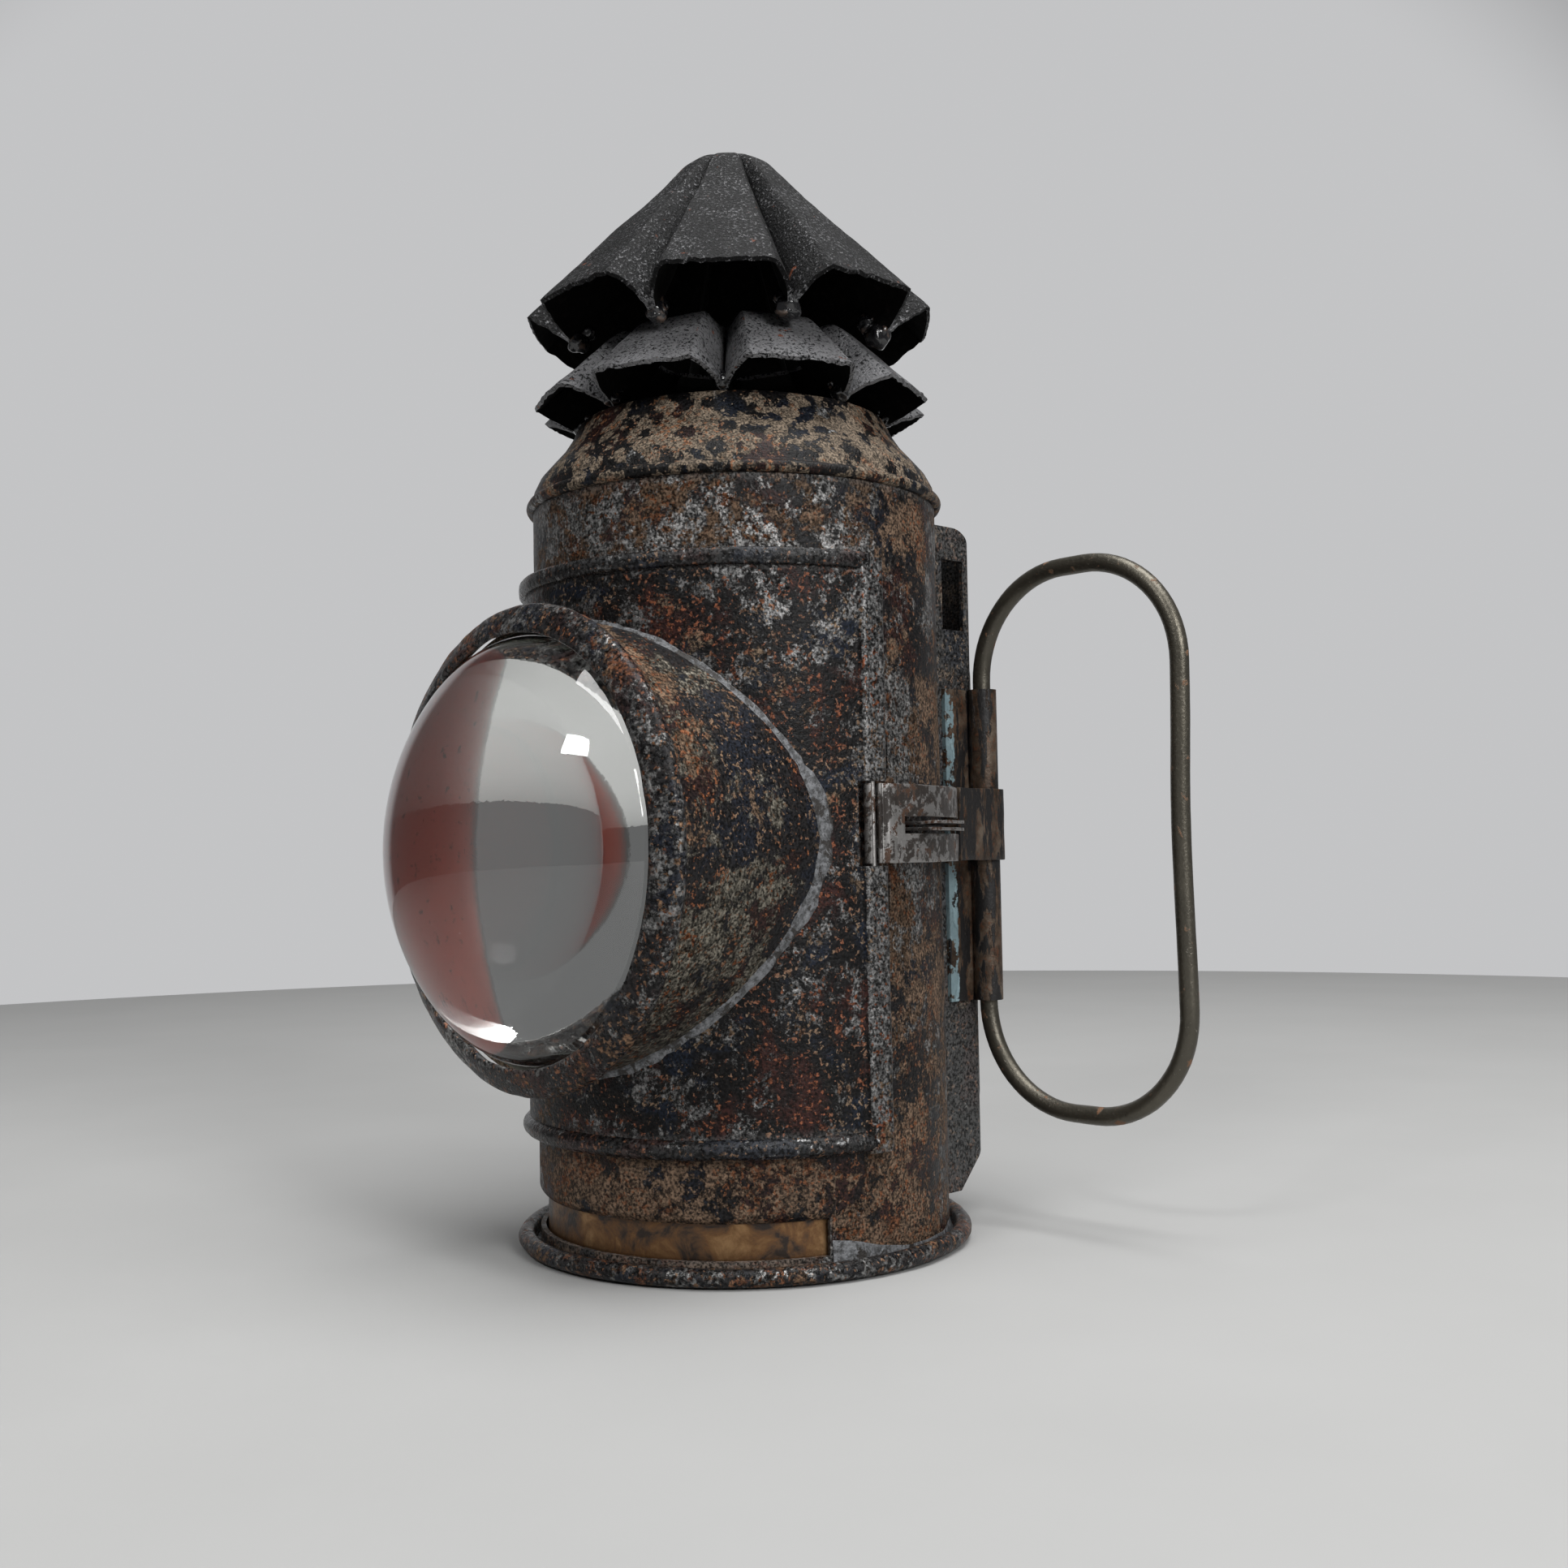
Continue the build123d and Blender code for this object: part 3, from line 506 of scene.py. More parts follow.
def grid(us, vs, point, keep=None, closed=False):
    """Vertices and faces of a sheet; keep(u0, u1, v0, v1) says which cells are there."""
    verts = [point(u, v) for v in vs for u in us]
    wide = len(us)
    faces = []
    for j in range(len(vs) - 1):
        for i in range(wide if closed else wide - 1):
            n = (i + 1) % wide
            if keep and not keep(us[i], us[n], vs[j], vs[j + 1]):
                continue
            faces.append((j * wide + i, j * wide + n, (j + 1) * wide + n, (j + 1) * wide + i))
    used = sorted({v for f in faces for v in f})
    place = {v: k for k, v in enumerate(used)}
    return [verts[v] for v in used], [tuple(place[v] for v in f) for f in faces]


def bar(us, count, point, closed=False):
    """Bar with count corners in its section, point(u, k), along us; an open one gets end faces."""
    verts, faces = grid(us, list(range(count)), point, closed=closed)
    wide = len(us)
    last = (count - 1) * wide
    for i in range(wide if closed else wide - 1):
        n = (i + 1) % wide
        faces.append((last + i, last + n, n, i))
    if not closed:
        faces.append(tuple(k * wide for k in reversed(range(count))))
        faces.append(tuple(k * wide + wide - 1 for k in range(count)))
    return verts, faces


def lathe(outline, turn, count):
    """Closed outline of (radius, height) turned round; turn(angle, r, h) places each point."""
    verts = [turn(360.0 * k / count, r, h) for k in range(count) for r, h in outline]
    n = len(outline)
    faces = []
    for k in range(count):
        a, b = k * n, ((k + 1) % count) * n
        faces += [(a + i, b + i, b + (i + 1) % n, a + (i + 1) % n) for i in range(n)]
    return verts, faces


def tube(path, radius, closed=False, sides=20):
    """Round bar along points; radius(k) gives its radius at each."""
    count = len(path)
    verts, faces = [], []
    normal = Vector((0, 1, 0))
    for k, p in enumerate(path):
        before = path[(k - 1) % count] if closed or k else path[k]
        after = path[(k + 1) % count] if closed or k < count - 1 else path[k]
        ahead = (after - before).normalized()
        normal = (normal - ahead * normal.dot(ahead)).normalized()
        side = ahead.cross(normal)
        for i in range(sides):
            a = 2 * pi * i / sides
            verts.append(tuple(p + (normal * cos(a) + side * sin(a)) * radius(k)))
    for k in range(count if closed else count - 1):
        a, b = k * sides, ((k + 1) % count) * sides
        faces += [(a + i, a + (i + 1) % sides, b + (i + 1) % sides, b + i) for i in range(sides)]
    if not closed:
        faces.append(tuple(range(sides))[::-1])
        faces.append(tuple((count - 1) * sides + i for i in range(sides)))
    return verts, faces


def arc_points(centre, radius, start, end, count):
    """Points along a circle in a plane, between two angles in degrees."""
    turns = [radians(start + (end - start) * k / count) for k in range(count + 1)]
    return [(centre[0] + radius * cos(a), centre[1] + radius * sin(a)) for a in turns]


def carry_over(node, material, bevel=0.0):
    """Gives a CAD node its material, and broken edges if it has a bevel."""
    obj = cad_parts[node]
    obj.data.materials.clear()
    obj.data.materials.append(material)
    if bevel:
        round_edges(obj, bevel, 40)
    return obj


# --- materials ---


def shell_scuffs_and_painted_sheen(s):
    """Bare metal round the hasp's slits; on the upper front, grey metal as a painted sheen of light from
    above.
    """
    below = near_point(s, on_circle(91, BODY_R, 55), 4, 13, 0.18)
    above = near_point(s, on_circle(92, BODY_R, 80), 4, 13, 0.18)
    # painted highlight: grey metal on the upper front stands for the sheen of light from above
    front = near_point(s, on_circle(20, BODY_R, 114), 14, 32, 0.13)
    return s.plus(below, above, front)


def shell_tans(s):
    """Brown all over low down, only in flakes by the shoulder."""
    return along(s, 2, 116.0, 96.0, 0.03)


def door_scuffs_and_painted_light(s):
    """The raised hem is rubbed all over and lightened as a painted highlight on its rib; more grey metal
    higher up is painted light from above.
    """
    flat = s.vector("MULTIPLY", s.mm, (1, 1, 0))
    reach = s.add("ShaderNodeVectorMath", {0: flat}, operation="LENGTH")
    # painted highlight: the hem's rib is lighter, as light would catch it, besides its wear
    hem = s.step(reach.outputs["Value"], DOOR_R + 0.30, DOOR_R + 0.7, 0.0, 0.16)
    # painted light from above: more grey metal higher up the door
    return s.plus(hem, along(s, 2, 70.0, 100.0, 0.035))


def housing_rust(s):
    """Rustier towards the bezel, most of all above."""
    front = along(s, 1, -30.0, -40.0, 0.10)
    return s.plus(front, s.times(along(s, 2, 74.0, 92.0, 1.0), front))


def housing_scuffs(s):
    """Clean by the seam, worn lower down."""
    return s.plus(along(s, 1, -24.0, -14.0, -0.12), along(s, 2, 66.0, 52.0, 0.07))


SHELL_TIN = aged_tin(
    "mottled_shell_tin", coat=0.007, tan=(0.082, 0.054, 0.036), rust=(0.090, 0.036, 0.017),
    scuff=(0.13, 0.128, 0.125), scuff_size=11.0, scuff_at=0.56, tan_size=6.0, tan_at=0.525, rust_at=0.59,
    blue=0.25, more_tan=shell_tans, more_scuff=shell_scuffs_and_painted_sheen)
SHOULDER_TIN = aged_tin(
    "mottled_shoulder_tin", coat=0.004, tan=(0.105, 0.082, 0.060), rust=(0.120, 0.055, 0.028),
    scuff_at=0.60, tan_size=3.2, tan_at=0.515, rust_at=0.63, flaky=0.52, grain_size=0.35, seed=20.0)
DOOR_TIN = aged_tin(
    "dark_door_tin", coat=0.0040, tan=(0.095, 0.066, 0.044), rust=(0.105, 0.036, 0.018),
    scuff=(0.095, 0.094, 0.093), scuff_size=6.0, scuff_at=0.55, tan_size=5.0, tan_at=0.61, rust_at=0.615,
    speck_at=0.73, red=0.7, blue=0.5, seed=35.0, more_scuff=door_scuffs_and_painted_light)
HOUSING_TIN = aged_tin(
    "dark_housing_tin", coat=0.009, tan=(0.095, 0.062, 0.040), rust=(0.130, 0.048, 0.021),
    scuff=(0.105, 0.096, 0.078), scuff_size=10.0, scuff_at=0.535, tan_size=6.0, tan_at=0.625, rust_at=0.625,
    speck_at=0.755, seed=52.0, more_tan=housing_rust, more_scuff=housing_scuffs)
RIM_TIN = aged_tin(
    "dark_rim_tin", coat=0.009, tan=(0.095, 0.056, 0.033), rust=(0.110, 0.042, 0.020),
    scuff=(0.105, 0.104, 0.102), scuff_size=3.0, scuff_at=0.535, tan_size=4.0, tan_at=0.58, rust_at=0.58,
    wear=0.3, gloss=0.32, grain_size=0.6, seed=71.0)
BEAD_TIN = aged_tin(
    "black_bead_tin", coat=0.0035, tan=(0.080, 0.048, 0.028), rust=(0.095, 0.038, 0.018),
    scuff=(0.13, 0.13, 0.13), scuff_size=2.5, scuff_at=0.575, tan_at=0.64, rust_at=0.63, speck_at=0.76,
    wear=1.0, gloss=0.26, grain_size=0.6, seed=44.0)
BACK_TIN = aged_tin(
    "dark_back_tin", coat=0.007, tan=(0.090, 0.064, 0.043), rust=(0.090, 0.040, 0.021),
    scuff=(0.110, 0.110, 0.108), scuff_at=0.60, tan_at=0.58, rust_at=0.62, seed=90.0)
CAP_BLACK = cap_paint()
SOOT_AND_PAINTED_SHADE = soot_and_painted_shade()
PAINTED_REFLECTION_LINING = lining_painted_reflection()
DRIP = glossy_drip()
SOLDER = dull_solder()
FOOT_SOLDER = dull_solder("foot_solder_grey", dirt_at=0.53)
WIRE = handle_wire()
STEEL = worn_steel()
BRASSY = brassy_tin()
SLEEVE_TIN = brown_tin("brown_sleeve_tin", True)
STRAP_TIN = brown_tin("brown_strap_tin", False)
GLASS = lens_glass()
RED = pane_glass("red_pane_glass", (0.42, 0.070, 0.045), (0.56, 0.13, 0.085))
GREEN = pane_glass("green_pane_glass", (0.37, 0.41, 0.36), (0.52, 0.55, 0.49))


# --- body ---


def build_shell():
    bottom, top = shell_low[2], shell_high[2]
    slits = ((54.0, 60.0), (74.6, 81.0))
    vent_angle, vent_z, vent_r = 88.0, 37.7, 1.15
    per_degree = radians(1) * BODY_R
    around = [vent_angle + k * 0.55 for k in range(-5, 6)]
    angles = steps(-180, 178.5, 1.5, -FRONT_HALF_ANGLE, FRONT_HALF_ANGLE, 89.4, 90.6, *around)
    beside = [vent_z + k * 0.33 for k in range(-5, 6)]
    heights = steps(bottom, top, 1.5, 3.4, WINDOW_TOP, *[z for slit in slits for z in slit], *beside)

    def from_vent(angle, z):
        return (angle - vent_angle) * per_degree, z - vent_z

    def point(angle, z):
        across, up = from_vent(angle, z)
        away = hypot(across, up)
        if 0.72 * vent_r < away < 1.25 * vent_r:
            angle = vent_angle + across / away * vent_r / per_degree
            z = vent_z + up / away * vent_r
        p = on_circle(angle, BODY_R, z)
        dent = 0.22 * lump(p, 26, 3) + 0.07 * lump(p, 6, 8)
        return on_circle(angle, BODY_R - 0.12 + min(0.10, dent), z)

    def keep(a0, a1, z0, z1):
        middle, height = (a0 + a1) / 2, (z0 + z1) / 2
        if abs(middle) < FRONT_HALF_ANGLE and a1 > a0:
            return height > WINDOW_TOP or height < 3.4
        for low, high in slits:
            if 89.4 < middle < 90.6 and low < height < high:
                return False
        return hypot(*from_vent(middle, height)) > 0.93 * vent_r

    shape = grid(angles, heights, point, keep, closed=True)
    piece("shell", shape, SHELL_TIN, "lantern_body", "body_shell", sheet=SHEET)


def build_band():
    """Sheet below the door; its lower edge curls in and its ends lap over the shell."""
    low, high = span("front_lower_band")
    end = FRONT_HALF_ANGLE + 1.4

    def point(angle, z):
        r = BODY_R + 0.05 + 0.10 * lump(on_circle(angle, BODY_R, z), 15, 5)
        r += 0.30 * max(0.0, (abs(angle) - FRONT_HALF_ANGLE + 3) / 4.4)
        curl = max(0.0, 1.0 - (z - low[2]) / 1.4)
        return on_circle(angle, r - 0.9 * curl * curl, z)

    heights = [low[2] + d for d in (0, 0.15, 0.35, 0.6, 0.9, 1.2)] + steps(low[2] + 1.8, high[2], 1.4)
    shape = grid(steps(-end, end, 1.5), heights, point)
    piece("band", shape, SHELL_TIN, "lantern_body", "front_lower_band", sheet=0.6, bevel=0.12)


def build_shoulder():
    """Cone with a slightly crowned line and a rolled bead at its foot."""
    bead_r, bead_z, wire = BODY_R + 0.15, shell_high[2] + 1.0, 0.95
    outer = [(26.2, 135.2), (27.6, 132.4), (29.1, 130.1), (31.0, 128.0), (32.8, 125.9), (33.8, 123.9),
             (34.0, 122.6)]
    bead = arc_points((bead_r, bead_z), wire, 60, -120, 9)
    inner = [(33.2, 120.6), (33.1, 123.2), (31.9, 125.4), (28.4, 129.4), (26.8, 131.8), (25.4, 134.8)]

    def turn(angle, r, z):
        p = on_circle(angle, r, z)
        r += 0.14 * lump(p, 18, 1) + 0.06 * lump(p, 4, 2) - 0.1
        return on_circle(angle, r, z + 0.10 * lump(p, 12, 9))

    shape = lathe(outer + bead + inner, turn, 180)
    piece("shoulder", shape, SHOULDER_TIN, "lantern_body", "shoulder_cone", bevel=0.1,
          smooth_angle=50)


def build_base():
    """Disc with its edge rolled over a wire, a little uneven by hand."""
    rim_r, wire = RIM_R - 1.5, 1.42
    rim = [(rim_r + wire * cos(radians(a)), 1.66 + wire * sin(radians(a))) for a in range(-150, 181, 22)]
    outline = [(0.01, 0.0), (rim_r - 1.4, 0.0)] + rim + [(rim_r - 1.6, 0.8), (0.01, 0.8)]

    def turn(angle, r, z):
        p = on_circle(angle, r, z)
        push = 0.25 * lump(p, 11, 4) + 0.10 * lump(p, 3, 6) if r > rim_r - 1.2 else 0
        return on_circle(angle, min(r + push - 0.12, RIM_R), max(0.0, z + push * 0.4))

    shape = lathe(outline, turn, 200)
    piece("base", shape, RIM_TIN, "lantern_body", "base_plate", smooth_angle=60)


def build_fillet():
    """Solder run at the foot of the shell: thick by the ends of the slot, thin behind."""
    start, end = FRONT_HALF_ANGLE + 0.6, 360 - FRONT_HALF_ANGLE - 0.6

    def point(angle, k):
        p = on_circle(angle, BODY_R, k)
        near = max(0.0, 1 - min(angle - start, end - angle) / 26)
        tall = 2.2 + 2.2 * near + 1.1 * lump(p, 7, 2)
        wide = 0.75 + 0.25 * lump(p, 5, 7)
        section = ((0.0, tall + 0.8), (0.16, tall * 0.8 + 0.7), (0.34, tall * 0.42 + 0.6),
                   (0.75, tall * 0.16 + 0.7), (1.0, 0.85), (1.0, 0.7), (-0.05, 0.7))
        dr, z = section[k]
        return on_circle(angle, BODY_R - 0.1 + dr * wide + 0.08 * lump(p, 1.5, 3), z)

    shape = bar(steps(start, end, 1.2), 7, point)
    piece("foot_solder", shape, FOOT_SOLDER, "lantern_body", "base_solder_fillet", smooth_angle=70)


# --- cap ---

LOBES = 8
SOFT_FOLD = 0.14


def crimped(name, node, profile, groove, phase, seed, ring_steps):
    """Folded disc: profile(t) and groove(t) give (radius, height) of fold and valley, t from top to rim.

    The first half of each of the LOBES is its flat top, the second half the valley to the next one.
    """
    pitch, half = 360 / LOBES, 14.5

    def lobe_point(u, t):
        lobe, part = divmod(u, 1.0)
        middle = phase + pitch * lobe
        r, z = profile(t)
        left = Vector(on_circle(middle - half, r, z))
        right = Vector(on_circle(middle + half, r, z))
        beyond = Vector(on_circle(middle + pitch - half, r, z))
        gr, gz = groove(t)
        valley = Vector(on_circle(middle + pitch / 2, gr, gz))
        if part <= 0.5:
            w = part / 0.5
            p = left.lerp(right, w)
            p += Vector((p.x, p.y, 0)).normalized() * 0.5 * t * sin(pi * w)
        else:
            w = (part - 0.5) / 0.5
            near = 1 - abs(2 * w - 1)
            depth = near * near / (2 * SOFT_FOLD) if near < SOFT_FOLD else near - SOFT_FOLD / 2
            p = right.lerp(beyond, w).lerp(valley, depth / (1 - SOFT_FOLD / 2))
        wave = 0.30 * lump(p, 13, seed) + 0.12 * lump(p, 3, seed + 4)
        p += Vector((p.x, p.y, 12)).normalized() * (wave - 0.1) * min(1.0, 3 * t)
        if t >= 1.0:
            p.z += 0.35 * lump(p, 2.6, seed + 9) + 0.40 * lump(p, 0.8, seed + 2)
        return tuple(p)

    parts = [0.5 * k / 20 for k in range(20)] + [0.5 + 0.5 * k / 18 for k in range(18)]
    us = [k + part for k in range(LOBES) for part in parts]
    shape = grid(us, ring_steps[::-1], lobe_point, closed=True)
    piece(name, shape, CAP_BLACK, "lantern_body", node, sheet=0.7, smooth_angle=36, even=False,
          lining=SOOT_AND_PAINTED_SHADE)


def curve_through(points):
    """Function of t in 0..1 that runs smoothly through (r, z) points, by Catmull-Rom."""
    def at(t):
        x = min(max(t, 0.0), 1.0) * (len(points) - 1)
        k = min(int(x), len(points) - 2)
        w = x - k
        a, b = points[max(k - 1, 0)], points[k]
        c, d = points[k + 1], points[min(k + 2, len(points) - 1)]
        return tuple(0.5 * (2 * q + (r - p) * w + (2 * p - 5 * q + 4 * r - s) * w * w
                            + (3 * q - p - 3 * r + s) * w ** 3) for p, q, r, s in zip(a, b, c, d))
    return at


def build_cap():
    """Two tiers; below its crown the upper one lies on a cone that is bowed out a little near the top."""
    top, apex = 183.1, 186.5
    ridge_slope, valley_slope = 1.045, 0.72
    ridge_bows = ((13.9, 0.75), (18.7, 0.65), (23.6, 0.45), (28.4, 0.2), (33.2, 0.0))
    valley_bows = ((17.1, 0.4), (22.5, 0.2), (28.0, 0.0), (33.4, 0.0), (38.7, 0.0))
    ridge = [(0.02, top), (3.4, top - 0.55), (7.3, top - 2.3), (10.6, 177.6)]
    ridge += [(ridge_slope * drop + bow, apex - drop) for drop, bow in ridge_bows]
    valley = [(0.02, top), (3.4, top - 0.6), (6.7, top - 2.9), (8.9, 175.2)]
    valley += [(valley_slope * drop + bow, apex - drop) for drop, bow in valley_bows]
    ridge, valley = curve_through(ridge), curve_through(valley)
    ring_steps = [0.0, 0.02, 0.06, 0.1] + [0.14 + 0.0253 * k for k in range(34)] + [1.0]
    crimped("cap_top", "cap_upper_tier", ridge, valley, 0.0, 12, ring_steps)
    ridge = [(14.8, 149.3), (18.6, 149.4), (22.0, 149.1), (26.3, 145.5), (30.4, 141.7), (33.5, 138.9)]
    valley = [(14.6, 148.6), (15.2, 146.6), (16.9, 143.9), (19.4, 140.8), (22.4, 137.8), (25.6, 135.4)]
    ridge, valley = curve_through(ridge), curve_through(valley)
    ring_steps = [0.0, 0.1, 0.2, 0.28, 0.34, 0.38, 0.42, 0.46] + [0.5 + 0.03125 * k for k in range(17)]
    crimped("cap_skirt", "cap_lower_tier", ridge, valley, 22.5, 31, ring_steps)


def build_blobs(name, node, r, z, phase, size, seed):
    """Molten lumps of painted solder in the groove tips, some large and some small."""
    built = bmesh.new()
    for k in range(8):
        big = size * (0.72 + 0.5 * (noise.noise(Vector((k * 3.7, seed, 2))) + 0.5))
        for j, (out, rise, share) in enumerate(((0.0, 0.0, 1.0), (-1.1, 1.5, 0.75), (0.35, -0.3, 0.6))):
            ball = bmesh.ops.create_icosphere(built, subdivisions=4, radius=1.0)
            turn = phase + 45 * k + 2.2 * share * noise.noise(Vector((k, j, seed)))
            x, y, _ = on_circle(turn, r + out * big * 0.8, 0)
            for v in ball["verts"]:
                way = v.co.copy()
                bulge = 1 + 0.30 * lump(way + Vector((k * 2.0, j, 0)), 0.7, seed)
                v.co = way * big * share * bulge + Vector((x, y, z + rise * big * 0.7))
    built.verts.index_update()
    verts = [tuple(v.co) for v in built.verts]
    faces = [tuple(v.index for v in f.verts) for f in built.faces]
    built.free()
    piece(name, (verts, faces), DRIP, "lantern_body", node, smooth_angle=80)


# --- door ---


def seam_point(turn, grow=0.0, r=DOOR_R):
    """Point of the housing's root on the door, turn in degrees round the lens axis from +X."""
    d = ROOT_D
    for _ in range(6):
        t = (d - ROOT_D) / (FRONT_D - ROOT_D)
        half_w = ROOT_HALF_W + (FRONT_R - ROOT_HALF_W) * t + grow
        half_h = ROOT_HALF_H + (FRONT_R - ROOT_HALF_H) * t + grow
        x = half_w * cos(radians(turn))
        z = ROOT_Z + (LENS_Z - ROOT_Z) * t + half_h * sin(radians(turn))
        d = sqrt(max(r * r - x * x, 1.0))
    return Vector((x, -d, z))


def build_panel():
    """Curved panel: a raised worn hem with a painted highlight on the free edge, a notch for the hasp, a hole
    for the housing.
    """
    hem_r, hem_start = 36.55, 79.0
    bottom, top = bottom_bead_high[2] - 0.3, top_bead_low[2] + 0.3
    angles = steps(DOOR_LEFT, 78.0, 1.4) + [78.6, 79.2, 79.6, 80.0, 80.5, 81.2, 82.4, 83.8, 85.2, 86.0, 86.5]
    angles.append(DOOR_RIGHT)
    notch = (HASP_Z0 - 0.4, HASP_Z1 + 0.4)
    heights = steps(panel_low[2], panel_high[2], 1.4, bottom, top, *notch)
    hole_w, hole_h = ROOT_HALF_W - 0.3, ROOT_HALF_H - 0.6

    def inside(x, z):
        return (x / hole_w) ** 2 + ((z - ROOT_Z + 0.5) / hole_h) ** 2

    def point(angle, z):
        p = on_circle(angle, DOOR_R, z)
        r = DOOR_R - 0.05 + 0.14 * lump(p, 20, 5) + 0.05 * lump(p, 5, 2)
        rise = min(1.0, max(0.0, (angle - hem_start) / 1.3))
        rise *= min(1.0, max(0.3, (DOOR_RIGHT + 0.25 - angle) / 0.8))
        r += (hem_r - DOOR_R - 0.15 + 0.12 * lump(p, 6, 9)) * rise * rise * (3 - 2 * rise)
        x, y, _ = on_circle(angle, r, z)
        reach = inside(x, z)
        if 0.82 < reach < 1.0:
            k = 1 / sqrt(reach)
            x, z = x * k, ROOT_Z - 0.5 + (z - ROOT_Z + 0.5) * k
            y = -sqrt(max(r * r - x * x, 1.0))
        return (x, y, z)

    def keep(a0, a1, z0, z1):
        middle, height = (a0 + a1) / 2, (z0 + z1) / 2
        if middle > 78.6 and notch[0] < height < notch[1]:
            return False
        if middle < 79.2 and not bottom < height < top:
            return False
        x, _, _ = on_circle(middle, DOOR_R, height)
        return inside(x, height) > 0.93

    shape = grid(angles, heights, point, keep)
    piece("panel", shape, DOOR_TIN, "door", "door_panel", sheet=0.78, even=False, smooth_angle=50)


def build_bead(name, node, section, end, seed, pinch=0.0):
    """Bar of a given (radius, height) section bent round the door between its two ends."""
    def point(angle, k):
        r, z = section[k]
        p = on_circle(angle, r, z)
        sag = 0.16 * lump(on_circle(angle, 36, 0), 14, seed)
        near = max(0.0, 1 - (end - angle) / 3.5)
        return on_circle(angle, r + 0.09 * lump(p, 3.0, seed + 1) - 0.12, z + sag - pinch * near)

    shape = bar(steps(DOOR_LEFT, end, 1.3), len(section), point)
    piece(name, shape, BEAD_TIN, "door", node, bevel=0.15, smooth_angle=55)


def build_beads():
    z0, z1 = top_bead_low[2], top_bead_high[2]
    flat = [(34.9, z0 + 0.1), (36.1, z0 + 0.1), (36.42, z0 + 0.5), (36.5, (z0 + z1) / 2), (36.42, z1 - 0.5),
            (36.1, z1 - 0.12), (34.9, z1 - 0.12)]
    build_bead("top_bead", "door_top_bead", flat, HEM_LEFT + 2.2, 7)
    z0, z1 = bottom_bead_low[2], bottom_bead_high[2]
    middle, tall = (z0 + z1) / 2, (z1 - z0) / 2 - 0.08
    bulge = [(34.95 + 1.75 * cos(radians(a)), middle + tall * sin(radians(a))) for a in range(-90, 91, 20)]
    build_bead("bottom_bead", "door_bottom_bead", bulge, HEM_LEFT + 1.6, 19, pinch=0.35)


def build_housing():
    """Tube that grows from the curved seam on the door to the round front."""
    stations = [0.0, 0.03, 0.08, 0.15, 0.25, 0.35, 0.45, 0.55, 0.65, 0.75, 0.85, 0.93, 0.97, 1.0]

    def point(turn, t):
        root = seam_point(turn, 0.0, DOOR_R - 0.4)
        front = Vector((FRONT_R * cos(radians(turn)), -FRONT_D, LENS_Z + FRONT_R * sin(radians(turn))))
        p = root.lerp(front, t)
        out = Vector((cos(radians(turn)), 0, sin(radians(turn))))
        dent = 0.22 * lump(p, 18, 2) + 0.06 * lump(p, 4, 9)
        return tuple(p + out * dent * sin(pi * min(1.0, t * 1.02)))

    shape = grid(steps(0, 357, 3.0), stations, point, closed=True)
    piece("housing", shape, HOUSING_TIN, "door", "lens_housing", sheet=SHEET, smooth_angle=60,
          lining=PAINTED_REFLECTION_LINING)


def build_seam():
    """Uneven run of solder round the housing's root, thin as a line, wide where it pooled."""
    def point(turn, k):
        edge = seam_point(turn, 0.0)
        steep = cos(radians(turn)) ** 2
        wide = (0.80 + 0.45 * lump(edge, 6, 3) + 0.40 * lump(edge, 1.6, 5)) * (1 - 0.45 * steep)
        if sin(radians(turn)) > 0.3:
            wide *= 0.6
        wide = max(0.22, wide)
        thick = 0.36 + 0.14 * lump(edge, 3, 8)
        offsets = ((-0.25, 0.0), (-0.1, 1.5 * wide), (0.15, 1.15 * wide), (0.45 * wide, 0.62 * thick + 0.1),
                   (0.85 * wide, 0.50 * thick), (1.25 * wide, 0.10), (1.3 * wide, -0.25), (-0.25, -0.3))
        out, rise = offsets[k]
        return tuple(seam_point(turn, out, DOOR_R + rise * 0.75))

    shape = bar(steps(0, 358, 2.0), 8, point, closed=True)
    piece("seam_solder", shape, SOLDER, "door", "housing_solder_seam", smooth_angle=80)


def around_lens(angle, r, d):
    return (r * cos(radians(angle)), -d, LENS_Z + r * sin(radians(angle)))


def build_bezel():
    """Rolled ring with a lip closed over the glass, hammered a little uneven."""
    edge_r = span("lens_bezel")[1][0]
    bead_r, wire = 35.85, 1.42
    bead = [(bead_r + wire * cos(radians(a)), 43.6 + wire * sin(radians(a))) for a in range(-170, 61, 23)]
    lip = [(35.9, 45.2), (34.9, 45.7), (33.7, 46.15), (33.0, 46.2), (32.75, 45.9), (33.0, 45.3), (34.2, 44.4)]

    def turn(angle, r, d):
        p = around_lens(angle, r, d)
        push = 0.16 * lump(p, 9, 3) + 0.09 * lump(p, 2.2, 6)
        lip_wave = 0.22 * lump(p, 3.2, 12) if r < 33.8 else 0.0
        r = min(r + push - 0.15 + lip_wave * 0.6, edge_r)
        return around_lens(angle, r, min(d + push * 0.5 + lip_wave, 46.5))

    shape = lathe(bead + lip, turn, 220)
    piece("bezel", shape, RIM_TIN, "door", "lens_bezel", smooth_angle=65)


